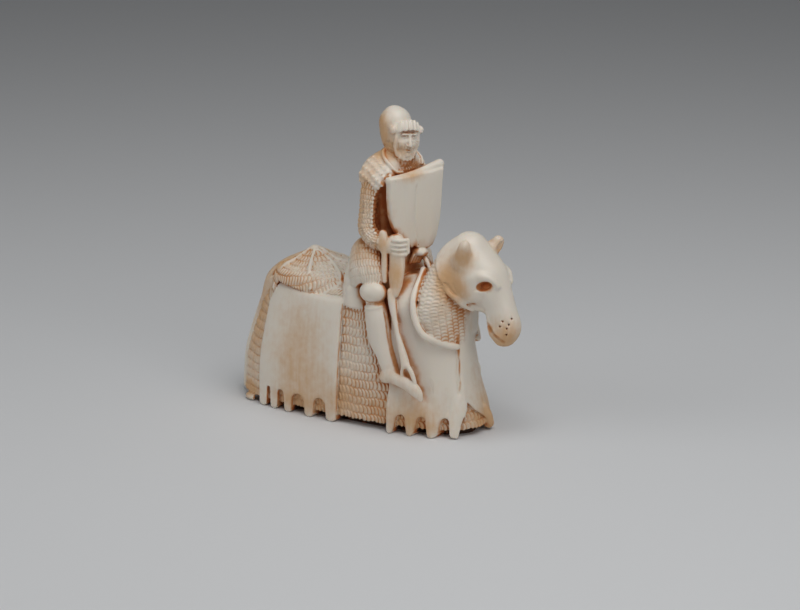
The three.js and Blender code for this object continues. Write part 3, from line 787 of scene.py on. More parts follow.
def layArms():
    arms["rightField"] = limb(arms["right"], blend=0.35)
    arms["leftField"] = limb(arms["left"], blend=0.35)
    # A row of links down the inside of the upper arm.
    beads([(3.3, -7.5, 51.4), (2.7, -8.1, 48.6), (2.5, -8.3, 45.6), (2.9, -8.6, 43.2), (3.9, -8.8, 41.9)],
          0.5, 0.85, 0.06)
    # Cuff, then the fist: the back of the hand with four short fingers round the hilt.
    limb([(5.2, -8, 41.8, 0.85), (5.6, -8.3, 40.4, 0.95), (5.7, -8.4, 38.6, 0.85)], blend=0.35)
    ball((7.5, -6.8, 39.7), (2.2, 1.85, 2.05), turn=-12, blend=0.35)
    ball((6.7, -7.9, 39), (0.9, 0.8, 1.1), blend=0.5)
    for finger in range(4):
        up = 40.85 - 0.96 * finger
        limb([(8, -8.15, up, 0.5), (9.2, -8, up - 0.03, 0.53), (10, -6.9, up - 0.06, 0.5)],
             blend=0.12, perSpan=3)
    limb([(9.8, -5.9, 40.6, 0.5), (10, -6.1, 38.2, 0.5)], blend=0.3)
    for slit in range(3):
        up = 40.37 - 0.96 * slit
        score([(7.8, -9, up), (9, -8.8, up), (10.4, -7.2, up)], 0.32, 0.45)
    # Left hand hangs below the shield: its back, four slanted fingers and the rein that they hold.
    ball((9.2, -0.4, 37), (1.7, 1.7, 1.0), tilt=10, blend=0.3)
    for finger in range(4):
        start = (8.7 + 0.27 * finger, -1.9 + 0.5 * finger, 36.6 - 0.2 * finger)
        end = (8 + 0.4 * finger, -2.15 + 0.45 * finger, 34.85)
        limb([(*start, 0.4), (*end, 0.36)], blend=0.08, perSpan=2)
    limb([(9.9, 0, 35.9, 0.45), (11.3, -0.9, 35.2, 0.5), (13.3, -2.3, 34.1, 0.5)], blend=0.2)
    # Hollow behind the rein, under the hand.
    ball((8.7, -0.9, 33), (1.4, 1.6, 1.6), tilt=20, kind="cut", blend=0.35)


# Blade below the right hand, in a broad and a narrow strip, with a hollow behind them

hilt = {
    "hollow": ((6.3, -6.4, 37.2, 0.9), (6.8, -7, 34.4, 0.9), (7.2, -7.6, 31.6, 0.8)),
    "broad": ((8.0, -7.1, 37.8, 1.3, 1.85), (8.3, -7.5, 35.6, 1.2, 1.85), (8.5, -8, 33.5, 1.15, 1.8),
              (8.8, -8.5, 31.4, 1, 1.5), (9, -9, 29.8, 0.8, 0.95)),
    "narrow": ((5.9, -8.5, 38, 0.62), (6.1, -8.8, 35, 0.66), (6.3, -9, 32.2, 0.6)),
}


def layHilt():
    limb(hilt["hollow"], kind="cut", blend=0.4)
    limb(hilt["broad"], blend=0.2)
    limb(hilt["narrow"], blend=0.25)


# Legs in plate, with the strap of the stirrup

leg = {
    "thigh": ((0.4, -5.4, 36, 4.4, 4.5), (1.3, -7.8, 33.6, 3.3, 4.5), (1.9, -8.5, 31.6, 2.5, 4.3)),
    # the mail skirt's hem, lower behind the knee than over it
    "skirtHem": ((-2, 29.7), (-0.4, 29.9), (1.4, 31.2), (7, 31.6)),
    "knee": ((4.0, -9.9, 29.6), (3.1, 2.2, 2.35)),
    "under": ((3.7, -9.2, 28.8, 1.5, 2.2), (4.2, -9.3, 26.8, 1.5, 2.2)),
    "shin": ((4.5, -9.7, 26.1, 1.85, 2.45), (5, -9.9, 24, 2.0, 2.65),
             (5.4, -9.9, 21.5, 2.0, 2.75), (5.9, -9.9, 19.3, 1.9, 2.6), (6.9, -9.9, 17.2, 1.8, 2.15),
             (7.8, -9.9, 15, 1.7, 2.0), (8.4, -10, 13.5, 1.6, 1.9)),
    "ankle": ((8.8, -10.5, 12.7), (2.1, 1.4, 1.75)),
    "heel": ((7.7, -10.6, 12), (1.5, 1.2, 1.3)),
    "foot": ((9.8, -10.6, 12.2, 1.1, 1.3), (11.5, -10.9, 12, 1.05, 1.35), (13.3, -11, 11.6, 1.05, 1.4),
             (14.9, -11, 10.8, 1.05, 1.4), (15.9, -10.9, 9.9, 0.95, 1.1), (16.5, -10.8, 8.9, 0.6, 0.6)),
    "strap": ((8, -9, 30, 0.95), (8.7, -9.7, 27.9, 0.85), (9.6, -10.1, 25, 0.62), (10.4, -10.3, 22, 0.54),
              (11.3, -10.5, 19.6, 0.66), (12.3, -10.7, 17, 0.85), (12.8, -10.9, 15.6, 0.9)),
    # its two branches, hind and fore
    "stirrup": (((12.5, -11, 15.2, 0.5), (12.2, -11.1, 14.2, 0.45), (12.2, -11.1, 13, 0.45)),
                ((13.4, -11, 15.6, 0.5), (14.4, -11.1, 14.4, 0.48), (15, -11.1, 13.1, 0.45),
                 (15.4, -11.1, 12.2, 0.35))),
    # height, and how far forward the leg lies there
    "lie": ((6, 13), (12, 10), (29, 5)),
    "flankDepth": 0.6,
}


# The flank is drawn in where the leg lies, so that the leg stands out from it.
def flankField(x, y, z):
    away = (x - lookUp(leg["lie"], z)) / 5.5
    return leg["flankDepth"] * np.exp(-away ** 2) * smooth(z, 4, 10) * smooth(34 - z, 0, 6)


def layLegs():
    thigh, low, high = limbField(leg["thigh"])

    def skirt(x, y, z):
        return softMeet(thigh(x, y, z), lookUp(leg["skirtHem"], x) - z, 0.3)

    leg["thighField"] = skirt
    work("join", skirt, low, high, 0.4, both=True)
    limb(leg["under"], blend=0.2, both=True)
    limb(leg["shin"], blend=0.15, both=True)
    ball(*leg["knee"], tilt=-4, blend=0.12, both=True)
    # Turned rim round the top of the greave.
    score([(2.2, -10.6, 26.3), (4.2, -11.9, 26.4), (6, -11.7, 26.9), (7, -10.4, 27.3)], 0.45, -0.2, both=True)
    limb(leg["foot"], blend=0.3, both=True)
    ball(*leg["ankle"], blend=0.25, both=True)
    ball(*leg["heel"], blend=0.5, both=True)
    limb(leg["strap"], blend=0.15, both=True)
    for branch in leg["stirrup"]:
        limb(branch, blend=0.15, both=True, perSpan=3)
    ball((13.3, -11.6, 14.2), (0.5, 1.2, 0.55), kind="cut", blend=0.15, both=True)
    # The strap is parted from the greave by a groove.
    score([(7.6, -10.2, 26.6), (8.3, -10.4, 23.6), (9, -10.6, 20.4), (9.7, -10.6, 17.8), (10.7, -10.6, 15.2)],
          0.5, 0.35, both=True)


# Saddle: the board behind the rider and the plain flap under the thigh

saddle = {
    # its outline from the side, and the mound that gives its width
    "outline": ((-5.4, 25.6), (-6.4, 30.6), (-5.8, 34.4), (-4.6, 37.9), (-3.4, 38.4), (-2.3, 37.6),
                (-0.6, 31), (3.4, 27.6), (4, 25.4), (1.2, 25.1), (-2, 25.2)),
    "mound": ((-1.4, 0, 24, 10.7, 6), (-2, 0, 30, 9.9, 5), (-3, 0, 36, 6.6, 3.2), (-3.4, 0, 38, 5, 2)),
    "groove": ((-3.2, -6.2, 37.6), (-3.3, -7.6, 34), (-3.3, -8.8, 30.4), (-3.2, -9.6, 28.4)),
}


def laySaddle():
    mound, low, high = limbField(saddle["mound"])

    def field(x, y, z):
        return softMeet(mound(x, y, z), outlineDistance(saddle["outline"], x, z), 0.9)

    work("join", field, low, high, 0.6)
    score(saddle["groove"], 0.5, 0.4, both=True)


layBody()
layCroup()
layNeck()
layHead()
laySaddle()
layRider()
layShield()
layLegs()
layHilt()
layArms()

# The underside is cut level, for the piece to stand on.
work("cut", lambda x, y, z: z, (-40, -16, -3), (40, 16, 0.2), 0.1)
say("clay laid")


# Meshing: a coarse search for the surface, a fine grid round it, and one point to each crossed cell

def searchClay():
    low, high = (np.array(sculpt[end], np.float32) for end in ("low", "high"))
    cell, block = sculpt["cell"], sculpt["block"]
    blocks = np.ceil((high - low) / (cell * block)).astype(int)
    centres = [low[a] + (np.arange(blocks[a]) + 0.5) * cell * block for a in range(3)]
    grid = np.stack(np.meshgrid(*centres, indexing="ij"), -1).reshape(-1, 3).astype(np.float32)
    coarse = clayAt(grid).reshape(blocks)
    near = np.abs(coarse) < cell * block * 1.7
    sides = np.where(coarse < 0, -1, 1).astype(np.float32)
    for axis in range(3):
        sides = np.repeat(sides, block, axis)
        near = np.repeat(near, block, axis)
    places = np.argwhere(near)
    points = (low + (places + 0.5) * cell).astype(np.float32)
    sides[near] = clayAt(points)
    say(f"clay searched at {len(points)} points")
    return sides, low + 0.5 * cell


# Corners and edges of one cell of the grid.
corners = np.array([(i, j, k) for k in (0, 1) for j in (0, 1) for i in (0, 1)])
edges = [(a, b) for a in range(8) for b in range(a + 1, 8) if np.abs(corners[a] - corners[b]).sum() == 1]


# One point to each cell that the surface crosses, and a quad round each grid edge that it crosses.
def surfaceOf(values, origin):
    cell = sculpt["cell"]
    inside = values < 0
    size = np.array(values.shape)
    counted = np.zeros(size - 1, np.uint8)
    for i, j, k in corners:
        counted += inside[i:size[0] - 1 + i, j:size[1] - 1 + j, k:size[2] - 1 + k]
    crossed = (counted > 0) & (counted < 8)
    cells = np.argwhere(crossed)
    number = np.full(crossed.shape, -1, np.int32)
    number[crossed] = np.arange(len(cells))
    ends = np.stack([values[tuple((cells + corner).T)] for corner in corners], 1)
    total = np.zeros((len(cells), 3), np.float32)
    hits = np.zeros(len(cells), np.float32)
    for a, b in edges:
        va, vb = ends[:, a], ends[:, b]
        crosses = (va < 0) != (vb < 0)
        t = np.where(crosses, va / np.where(crosses, va - vb, 1), 0)
        total += np.where(crosses[:, None], corners[a] + t[:, None] * (corners[b] - corners[a]), 0)
        hits += crosses
    points = origin + (cells + total / hits[:, None]) * cell
    quads = []
    for axis in range(3):
        b, c = (axis + 1) % 3, (axis + 2) % 3
        first = inside[tuple(slice(0, -1) if a == axis else slice(None) for a in range(3))]
        second = inside[tuple(slice(1, None) if a == axis else slice(None) for a in range(3))]
        places = np.argwhere(first != second)
        places = places[(places[:, b] > 0) & (places[:, c] > 0)]
        places = places[(places[:, b] < crossed.shape[b]) & (places[:, c] < crossed.shape[c])]
        leaving = first[tuple(places.T)]
        stepB, stepC = np.zeros(3, int), np.zeros(3, int)
        stepB[b], stepC[c] = 1, 1
        ring = [number[tuple((places - off).T)] for off in (0 * stepB, stepB, stepB + stepC, stepC)]
        ring = np.stack(ring, 1)
        ring[~leaving] = ring[~leaving][:, ::-1]
        quads.append(ring)
    return points.astype(np.float32), np.concatenate(quads)


# Draws each point on to the surface itself, which takes the grid's steps out.
def settle(points):
    for _ in range(2):
        here, slope = distanceAndSlope(points, 0.03)
        square = np.maximum((slope ** 2).sum(1), 0.05)
        move = -(here / square)[:, None] * slope
        length = np.maximum(np.linalg.norm(move, axis=1), 1e-9)
        points = points + move * np.minimum(1, 0.12 / length)[:, None]
    # Points next to the ground are set on it, so that the underside is level.
    points[:, 2] = np.where(points[:, 2] < 0.06, 0, points[:, 2])
    return points.astype(np.float32)


values, origin = searchClay()
points, quads = surfaceOf(values, origin)
say(f"surface of {len(points)} points")
points = settle(points)
say("surface settled")


# Where the mail lies, and the run of its links: u counts links along a row, v counts rows

mail = {
    # height of a row, width of a link, and how boldly the links stand out
    "body": (1.8, 0.95, 1), "croup": (1.6, 0.8, 0.8), "neck": (1.5, 0.75, 0.5), "hood": (1.0, 0.65, 0.45),
    "arm": (1.0, 0.66, 0.65), "trunk": (1.15, 0.75, 0.6), "skirt": (1.0, 0.66, 0.55),
    # mean half length and half width of the body and squareness behind, and the same sizes of the neck
    "bodyOval": (28.6, 10.9, 3), "neckOval": (4.5, 8.2),
    "radius": {"hood": 3.5, "right": 2.1, "left": 2.2, "trunk": 5, "skirt": 3.8},
    # height where the hood's links end, and how far forward those of the arms and the trunk go
    "hoodTop": 60.2, "rightEnd": 4.6, "leftEnd": 6.4, "trunkFront": 2.6,
    "fade": (0.12, 0.38),    # distance from the skin where the links begin to fade, and where they are gone
    "reach": 0.5,            # a point further off than this has no links
}


# Distance along a limb and angle round it.
def runOf(stations, points):
    path = limbPath(stations, 4)
    steps = np.diff(path[:, :3], axis=0)
    lengths = np.linalg.norm(steps, axis=1)
    before = np.concatenate([[0], np.cumsum(lengths)[:-1]])
    best = np.full(len(points), np.inf)
    along, angle = np.zeros(len(points)), np.zeros(len(points))
    for i, step in enumerate(steps):
        direction = step / lengths[i]
        side, up = crossAxes(direction)
        away = points - path[i, :3]
        t = np.clip(away @ direction, 0, lengths[i])
        off = away - t[:, None] * direction
        far = (off ** 2).sum(1)
        closer = far < best
        best = np.where(closer, far, best)
        along = np.where(closer, before[i] + t, along)
        angle = np.where(closer, np.arctan2(off @ up, off @ side), angle)
    return along, angle


# Distance along a line of points from its first, at each of them.
def lengthAlong(x, y):
    return np.concatenate([[0], np.cumsum(np.hypot(np.diff(x), np.diff(y)))])


# Links run round the body, measured on an oval of its mean size, and rows climb it.
def bodyRun(points):
    row, link, _ = mail["body"]
    rear, front, half = between(bodyRows, points[:, 2])[:3]
    middle = (rear + front) / 2
    turn = np.arctan2(points[:, 1] / half, (points[:, 0] - middle) / ((front - rear) / 2))
    long, wide, square = mail["bodyOval"]
    ring = np.linspace(-math.pi, math.pi, 721)
    power = np.where(np.cos(ring) < 0, square, body["corner"])
    reach = (np.abs(np.cos(ring)) ** power + np.abs(np.sin(ring)) ** power) ** (-1 / power)
    x, y = long * reach * np.cos(ring), wide * reach * np.sin(ring)
    return np.interp(turn, ring, lengthAlong(x, y)) / link, points[:, 2] / row + 0.3


# Rows run in rings round the knob, each with a whole number of links.
def croupRun(points):
    row, link, _ = mail["croup"]
    away = points - np.array(croup["knob"])
    reach = np.linalg.norm(away, axis=1) / row
    count = np.maximum(np.round(2 * math.pi * (np.floor(reach) + 0.5) * row * 0.9 / link), 6)
    return np.arctan2(away[:, 1], away[:, 0]) / (2 * math.pi) * count, reach


# Rows stand upright and go round the neck.
def neckRun(points):
    row, link, _ = mail["neck"]
    stations = [(height, middle, wide, deep) for middle, _, height, wide, deep in neck["stations"]]
    middle, wide, deep = between(stations, points[:, 2])
    turn = np.arctan2(np.abs(points[:, 1]) / wide, (points[:, 0] - middle) / deep)
    meanWide, meanDeep = mail["neckOval"]
    ring = np.linspace(0, math.pi, 181)
    length = lengthAlong(meanWide * np.cos(ring), meanDeep * np.sin(ring))
    return points[:, 2] / link, np.interp(turn, ring, length) / row


# Rows go round a limb.
def limbRun(stations, area, radius):
    row, link, _ = mail[area]

    def run(points):
        along, angle = runOf(stations, points)
        return angle * radius / link, along / row
    return run


# A part of a shape: where the test holds, the shape is out of reach.
def without(field, test):
    return lambda x, y, z: np.where(test(x, y, z), sculpt["apart"], field(x, y, z))


# The front of the neck is plain down the middle, and there are no links below its rolled edge.
def neckIsPlain(x, y, z):
    edge = [(fore, up) for fore, _, up in neck["edge"]]
    return ((x > 17.5) & (np.abs(y - 1.6) < 2.6) & (z < 33)) | (z < np.interp(x, *zip(*edge)))


# Field, run of the links and area of each part in mail.
def regionsOfMail():
    radius = mail["radius"]
    skirtRun = limbRun(leg["thigh"], "skirt", radius["skirt"])
    hood = without(rider["hoodField"], lambda x, y, z: z > mail["hoodTop"])
    trunk = without(rider["trunkField"], lambda x, y, z: x > mail["trunkFront"])
    right = without(arms["rightField"], lambda x, y, z: x > mail["rightEnd"])
    left = without(arms["leftField"], lambda x, y, z: x > mail["leftEnd"])

    def skirt(x, y, z):
        return leg["thighField"](x, -np.abs(y), z)

    def skirtBoth(points):
        return skirtRun(points * np.where(points[:, 1:2] > 0, [1, -1, 1], [1, 1, 1]))

    return [
        (mailSkinField, bodyRun, "body"), (croupField, croupRun, "croup"),
        (without(neck["field"], neckIsPlain), neckRun, "neck"),
        (hood, limbRun(rider["hood"], "hood", radius["hood"]), "hood"),
        (right, limbRun(arms["right"], "arm", radius["right"]), "arm"),
        (left, limbRun(arms["left"], "arm", radius["left"]), "arm"),
        (trunk, limbRun(rider["trunk"], "trunk", radius["trunk"]), "trunk"),
        (skirt, skirtBoth, "skirt"),
    ]


# Run of the links across and along the rows at each point, and how boldly they stand out there.
def mailOn(points):
    u, v = np.zeros(len(points)), np.zeros(len(points))
    mask, best = np.zeros(len(points)), np.full(len(points), mail["reach"])
    x, y, z = points.T.astype(np.float32)
    for field, run, area in regionsOfMail():
        off = np.abs(field(x, y, z))
        closer = off < best
        pick = np.flatnonzero(closer)
        if not len(pick):
            continue
        best[pick] = off[pick]
        u[pick], v[pick] = run(points[pick])
        mask[pick] = mail[area][2] * (1 - smooth(off[pick], *mail["fade"]))
    wander = 0.16 * np.sin(points[:, 0] * 0.9 + points[:, 2] * 0.5) + 0.1 * np.sin(points[:, 2] * 1.3 + 2)
    lift = 0.05 * np.sin(points[:, 0] * 0.7 + 1) + 0.04 * np.sin(points[:, 0] * 1.9 + points[:, 1])
    v = v + lift
    # Each row starts at its own place, as hand-cut rows do.
    return u + wander + 0.37 * np.floor(v), v, mask


# Nodes

# Settings are the node's own options. An input is a value or the output socket of another node.
def addNode(tree, kind, inputs=None, **settings):
    made = tree.nodes.new(kind)
    for name, value in settings.items():
        setattr(made, name, value)
    for key, value in (inputs or {}).items():
        if isinstance(value, bpy.types.NodeSocket):
            tree.links.new(value, made.inputs[key])
        else:
            made.inputs[key].default_value = value
    return made


# Height of the carved links, 0 in the grooves to 1 on their backs: rows of strokes bent like a bracket.
# Each step takes numbers, sockets or the names of earlier steps.
def linkHeight(tree, u, v, bend):
    steps = (
        ("row", "FRACT", v), ("turn", "MULTIPLY", "row", math.pi), ("arch", "SINE", "turn"),
        ("push", "MULTIPLY", "arch", bend), ("shifted", "SUBTRACT", u, "push"),
        ("share", "FRACT", "shifted"), ("wave", "MULTIPLY", "share", 2 * math.pi),
        ("crest", "COSINE", "wave"), ("half", "MULTIPLY", "crest", -0.5), ("back", "ADD", "half", 0.5),
        ("round", "POWER", "back", 0.75), ("wide", "MULTIPLY", "arch", 1.7),
        ("level", "MINIMUM", "wide", 1.0), ("height", "MULTIPLY", "round", "level"),
    )
    known = {}
    for name, operation, *values in steps:
        inputs = {i: known[value] if isinstance(value, str) else value for i, value in enumerate(values)}
        known[name] = addNode(tree, "ShaderNodeMath", inputs, operation=operation).outputs[0]
    return known["height"]


relief = {
    "Relief depth": 0.0003,   # metres from the grooves between the links to their backs
    "Link bend": 0.3,         # how far a link is bent, as a share of its width
    "Unevenness": 0.00005,    # depth of the knife's marks, in metres
    "Seed": 7.0,
}
skinLevel = 0.72              # share of the depth that is cut below the skin
marksPerMetre = 420


# The modifier: the mail's links and the knife's marks, raised along the normals.
def reliefTree(material):
    tree = bpy.data.node_groups.new("carvedMail", "GeometryNodeTree")
    face = tree.interface
    face.new_socket("Geometry", in_out="INPUT", socket_type="NodeSocketGeometry")
    for name in relief:
        face.new_socket(name, in_out="INPUT", socket_type="NodeSocketFloat")
    face.new_socket("Geometry", in_out="OUTPUT", socket_type="NodeSocketGeometry")
    source = addNode(tree, "NodeGroupInput").outputs
    known = {name: addNode(tree, "GeometryNodeInputNamedAttribute", {"Name": name},
                           data_type="FLOAT").outputs[0]
             for name in ("mailU", "mailV", "mailMask")}
    known.update({name: source[name] for name in relief})
    known["links"] = linkHeight(tree, known["mailU"], known["mailV"], known["Link bend"])
    place = addNode(tree, "GeometryNodeInputPosition").outputs[0]
    known["marks"] = addNode(tree, "ShaderNodeTexNoise", {
        "Vector": place, "W": known["Seed"], "Scale": marksPerMetre, "Detail": 2},
        noise_dimensions="4D").outputs[0]
    steps = (
        ("raised", "SUBTRACT", "links", skinLevel), ("masked", "MULTIPLY", "raised", "mailMask"),
        ("depth", "MULTIPLY", "masked", "Relief depth"), ("centred", "SUBTRACT", "marks", 0.5),
        ("uneven", "MULTIPLY", "centred", "Unevenness"), ("total", "ADD", "depth", "uneven"),
    )
    for name, operation, *values in steps:
        inputs = {i: known[value] if isinstance(value, str) else value for i, value in enumerate(values)}
        known[name] = addNode(tree, "ShaderNodeMath", inputs, operation=operation).outputs[0]
    normal = addNode(tree, "GeometryNodeInputNormal").outputs[0]
    offset = addNode(tree, "ShaderNodeVectorMath", {0: normal, "Scale": known["total"]},
                     operation="SCALE").outputs[0]
    moved = addNode(tree, "GeometryNodeSetPosition",
                    {"Geometry": source["Geometry"], "Offset": offset}).outputs[0]
    whole = addNode(tree, "GeometryNodeRealizeInstances", {"Geometry": moved}).outputs[0]
    dressed = addNode(tree, "GeometryNodeSetMaterial", {"Geometry": whole, "Material": material}).outputs[0]
    addNode(tree, "NodeGroupOutput", {0: dressed})
    return tree


# From the drawing's millimetres to the frame's metres, over the middle of the CAD box.
def toFrame(points):
    low, high = (Vector(corner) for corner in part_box("knight"))
    shift = np.array([(low.x + high.x) / 2 * 1000 - sculpt["drawnMiddle"], (low.y + high.y) / 2 * 1000, 0])
    return (points + shift) / 1000, shift


# One number to each point of a mesh, by name.
def setField(mesh, name, values):
    attribute = mesh.attributes.get(name) or mesh.attributes.new(name, "FLOAT", "POINT")
    attribute.data.foreach_set("value", np.ascontiguousarray(values, dtype=np.float32))


def meshOf(name, points, faces):
    mesh = bpy.data.meshes.new(name)
    mesh.vertices.add(len(points))
    mesh.vertices.foreach_set("co", points.astype(np.float32).ravel())
    mesh.loops.add(faces.size)
    mesh.loops.foreach_set("vertex_index", faces.astype(np.int32).ravel())
    mesh.polygons.add(len(faces))
    mesh.polygons.foreach_set("loop_start", np.arange(0, faces.size, faces.shape[1], dtype=np.int32))
    mesh.update(calc_edges=True)
    mesh.validate()
    return mesh


# Ivory

# An sRGB hex colour as linear light.
def colour(code):
    parts = [int(code[i:i + 2], 16) / 255 for i in (1, 3, 5)]
    return (*(part / 12.92 if part <= 0.04045 else ((part + 0.055) / 1.055) ** 2.4 for part in parts), 1)


ivory = {
    # dark is the near black of the painted shadow under the base, and of the strongest stains.
    "pale": "#e4dbcd", "warm": "#d0a87c", "amber": "#c58a55", "deep": "#b4622f", "dark": "#3a2316",
    # metres across a blotch and a speck, and the width and length of a line of grain
    "blotch": 0.011, "mottle": 0.0016, "grain": 0.0007, "grainLength": 0.016,
    "index": 1.54, "polish": 0.34,        # roughness where nothing lies in the hollows
    "glow": 0.18, "glowDepth": 0.0008,    # share of light that passes through the skin, and how deep
    "bump": 0.8, "bumpHeight": 0.00012,
}


# Ivory, carved, then polished by handling: waxy and pale on its swells, tan where the tusk's outer layer
# shows and, low on the front cloth, as painted shade; orange to red-brown where dirt and old colour lie in
# the hollows and between links; near black where shadow is painted on the underside inside its edge.
# The lines of grain are drawn coarser than in a real tusk, so that they show.
def carvedIvory():
    material = bpy.data.materials.new("carvedIvory")
    material.use_nodes = True
    tree = material.node_tree
    tree.nodes.clear()
    place = addNode(tree, "ShaderNodeTexCoord").outputs["Object"]
    known = {name: addNode(tree, "ShaderNodeAttribute", attribute_name=name).outputs["Fac"]
             for name in ("mailU", "mailV", "mailMask", "stainAndShade", "tan")}
    known["links"] = linkHeight(tree, known["mailU"], known["mailV"], relief["Link bend"])
    for name, size in ((name, ivory[name]) for name in ("blotch", "mottle")):
        known[name] = addNode(tree, "ShaderNodeTexNoise",
                              {"Vector": place, "Scale": 1 / size, "Detail": 3}).outputs[0]
    across, along = 1 / ivory["grain"], 1 / ivory["grainLength"]
    stretched = addNode(tree, "ShaderNodeMapping",
                        {"Vector": place, "Scale": (across, across, along)}).outputs[0]
    known["grain"] = addNode(tree, "ShaderNodeTexNoise",
                             {"Vector": stretched, "Scale": 1, "Detail": 3}).outputs[0]
    steps = (
        ("gap", "SUBTRACT", 1.0, "links"), ("gapDeep", "POWER", "gap", 1.3),
        ("gapMail", "MULTIPLY", "gapDeep", "mailMask"),
        ("patch", "SUBTRACT", "blotch", 0.2), ("patchWide", "MULTIPLY", "patch", 2.3),
        ("gapStain", "MULTIPLY", "gapMail", "patchWide"),
        ("speck", "SUBTRACT", "mottle", 0.5), ("speckDeep", "MULTIPLY", "speck", "stainAndShade"),
        ("hollowSpeck", "MULTIPLY_ADD", "speckDeep", 1.1, "stainAndShade"),
        ("hollow", "ADD", "hollowSpeck", "gapStain"),
        ("streak", "SUBTRACT", "grain", 0.5), ("streakWarm", "MULTIPLY_ADD", "streak", 0.28, "tan"),
        ("blotchOff", "SUBTRACT", "blotch", 0.5),
        ("blotchWarm", "MULTIPLY_ADD", "blotchOff", 0.35, "streakWarm"),
        ("warmth", "MULTIPLY_ADD", "speck", 0.45, "blotchWarm"),
        ("bumpMail", "MULTIPLY", "links", "mailMask"),
        ("bumpGrain", "MULTIPLY_ADD", "grain", 0.06, "bumpMail"),
        ("bump", "MULTIPLY_ADD", "mottle", 0.12, "bumpGrain"),
        ("matt", "MULTIPLY_ADD", "hollow", 0.4, ivory["polish"]),
        ("rough", "MULTIPLY_ADD", "mottle", 0.16, "matt"),
    )
    for name, operation, *values in steps:
        inputs = {i: known[value] if isinstance(value, str) else value for i, value in enumerate(values)}
        known[name] = addNode(tree, "ShaderNodeMath", inputs, operation=operation).outputs[0]
    # The last layer, near black, is reached by the painted shadow that adds 3 under the base, and by the
    # strongest stains.
    layers = (("warmth", 0.1, 0.95, "pale", "warm"), ("hollow", 0.2, 0.9, None, "amber"),
              ("hollow", 0.8, 1.5, None, "deep"), ("hollow", 2.1, 3.2, None, "dark"))
    tone = None
    for factor, low, high, under, over in layers:
        share = addNode(tree, "ShaderNodeMapRange",
                        {"Value": known[factor], "From Min": low, "From Max": high},
                        interpolation_type="SMOOTHSTEP").outputs[0]
        base = colour(ivory[under]) if under else tone
        tone = addNode(tree, "ShaderNodeMix", {0: share, 6: base, 7: colour(ivory[over])},
                       data_type="RGBA").outputs[2]
    bump = addNode(tree, "ShaderNodeBump", {
        "Height": known["bump"], "Strength": ivory["bump"], "Distance": ivory["bumpHeight"]}).outputs[0]
    skin = addNode(tree, "ShaderNodeBsdfPrincipled", {
        "Base Color": tone, "Roughness": known["rough"], "IOR": ivory["index"], "Normal": bump,
        "Subsurface Weight": ivory["glow"], "Subsurface Radius": (1.0, 0.6, 0.35),
        "Subsurface Scale": ivory["glowDepth"],
    }).outputs[0]
    addNode(tree, "ShaderNodeOutputMaterial", {"Surface": skin})
    return material


# Steps out from the surface and the weight of each, what a flat place is spared, and the strength of it all.
hollows = {"steps": ((0.5, 0.2), (1.2, 0.35), (2.6, 0.7), (4.5, 0.8)), "spared": 0.3, "strength": 0.88}


# How deep in a hollow each point lies, felt by stepping out along its normal.
def hollowness(points, normals):
    total = np.zeros(len(points), np.float32)
    for reach, weight in hollows["steps"]:
        free = clayAt((points + normals * reach).astype(np.float32))
        total += weight * np.clip(1 - free / reach - hollows["spared"], 0, 1)
    return hollows["strength"] * total


# Warm tan of the tusk's outer layer: place, size and strength in the drawing. The patches at (15, -10, 6) and
# (16, -12, 2), low on the front cloth and its dags, are partly that tan and partly painted shade, browner
# towards the bottom.
tanPlaces = (
    ((-14.5, -12, 13), (8, 5, 15), 0.66), ((15, -10, 6), (8, 5, 6), 0.4), ((-29, -4, 20), (4, 8, 14), 0.6),
    ((8.8, -8.8, 33), (2.4, 2.5, 5), 0.65), ((16, -12, 2), (8, 5, 2.4), 0.5), ((-30, -9, 2), (3, 3, 2), 0.9),
    ((19.5, -5.5, 33), (2.4, 3, 3), 0.5), ((5.5, -8.6, 40), (1.6, 2, 3), 0.7), ((2, -7, 36), (4, 4, 4), 0.4),
    ((10, -4, 54), (2.5, 4, 1.6), 0.8), ((7.8, -10.5, 12.4), (2.4, 2, 2), 0.5),
    ((4, -10, 29), (4, 3, 1.2), 0.3),
    ((-24, 0, 30), (6, 6, 4), 0.6), ((-15, -12, 3), (8, 4, 2.5), 0.4), ((8.5, -7.5, 34), (2, 3, 5), 0.25),
    ((23, -5, 39), (3, 2.5, 3), 0.9), ((25, 5, 39), (3, 3, 3), 0.9), ((32, -2, 23), (3, 4, 4), 0.85),
    ((2, -4, 57), (3, 3, 3), 0.5), ((1, -9, 46), (2, 2, 6), 0.3), ((21.5, -5, 33), (3, 3, 3.4), 0.5),
    ((22.5, -6, 31), (3.5, 2, 3), 0.5), ((28, -1, 23), (2, 3, 3), 0.5), ((-20, 5, 24), (8, 8, 14), 0.3),
    ((30, 0, 20), (4, 3, 2), 0.8), ((18, -5, 36), (2.5, 3, 4), 0.45), ((3, -5, 62), (3.5, 3, 4), 0.5),
    ((25, 4, 8), (6, 7, 12), 0.6), ((5, -8, 27), (3, 3, 1.5), 0.5), ((24, 4, 2), (4, 5, 3), 0.8),
    ((-4, -12, 6), (5, 4, 6), 0.4), ((10, -11, 4), (16, 4, 4), 0.2), ((1, -1, 62.5), (2.2, 5, 3.5), 0.5),
    ((5.5, -2, 58), (4, 4, 3), 0.45), ((-1, -8, 44), (2.5, 3, 9), 0.5), ((12, -11, 16), (4, 3, 7), 0.35),
    ((18, -7, 26), (4, 4, 5), 0.3), ((0, -3, 63.5), (2.8, 3, 3.4), 0.55), ((1, -8, 53), (3, 3, 3), 0.4),
)

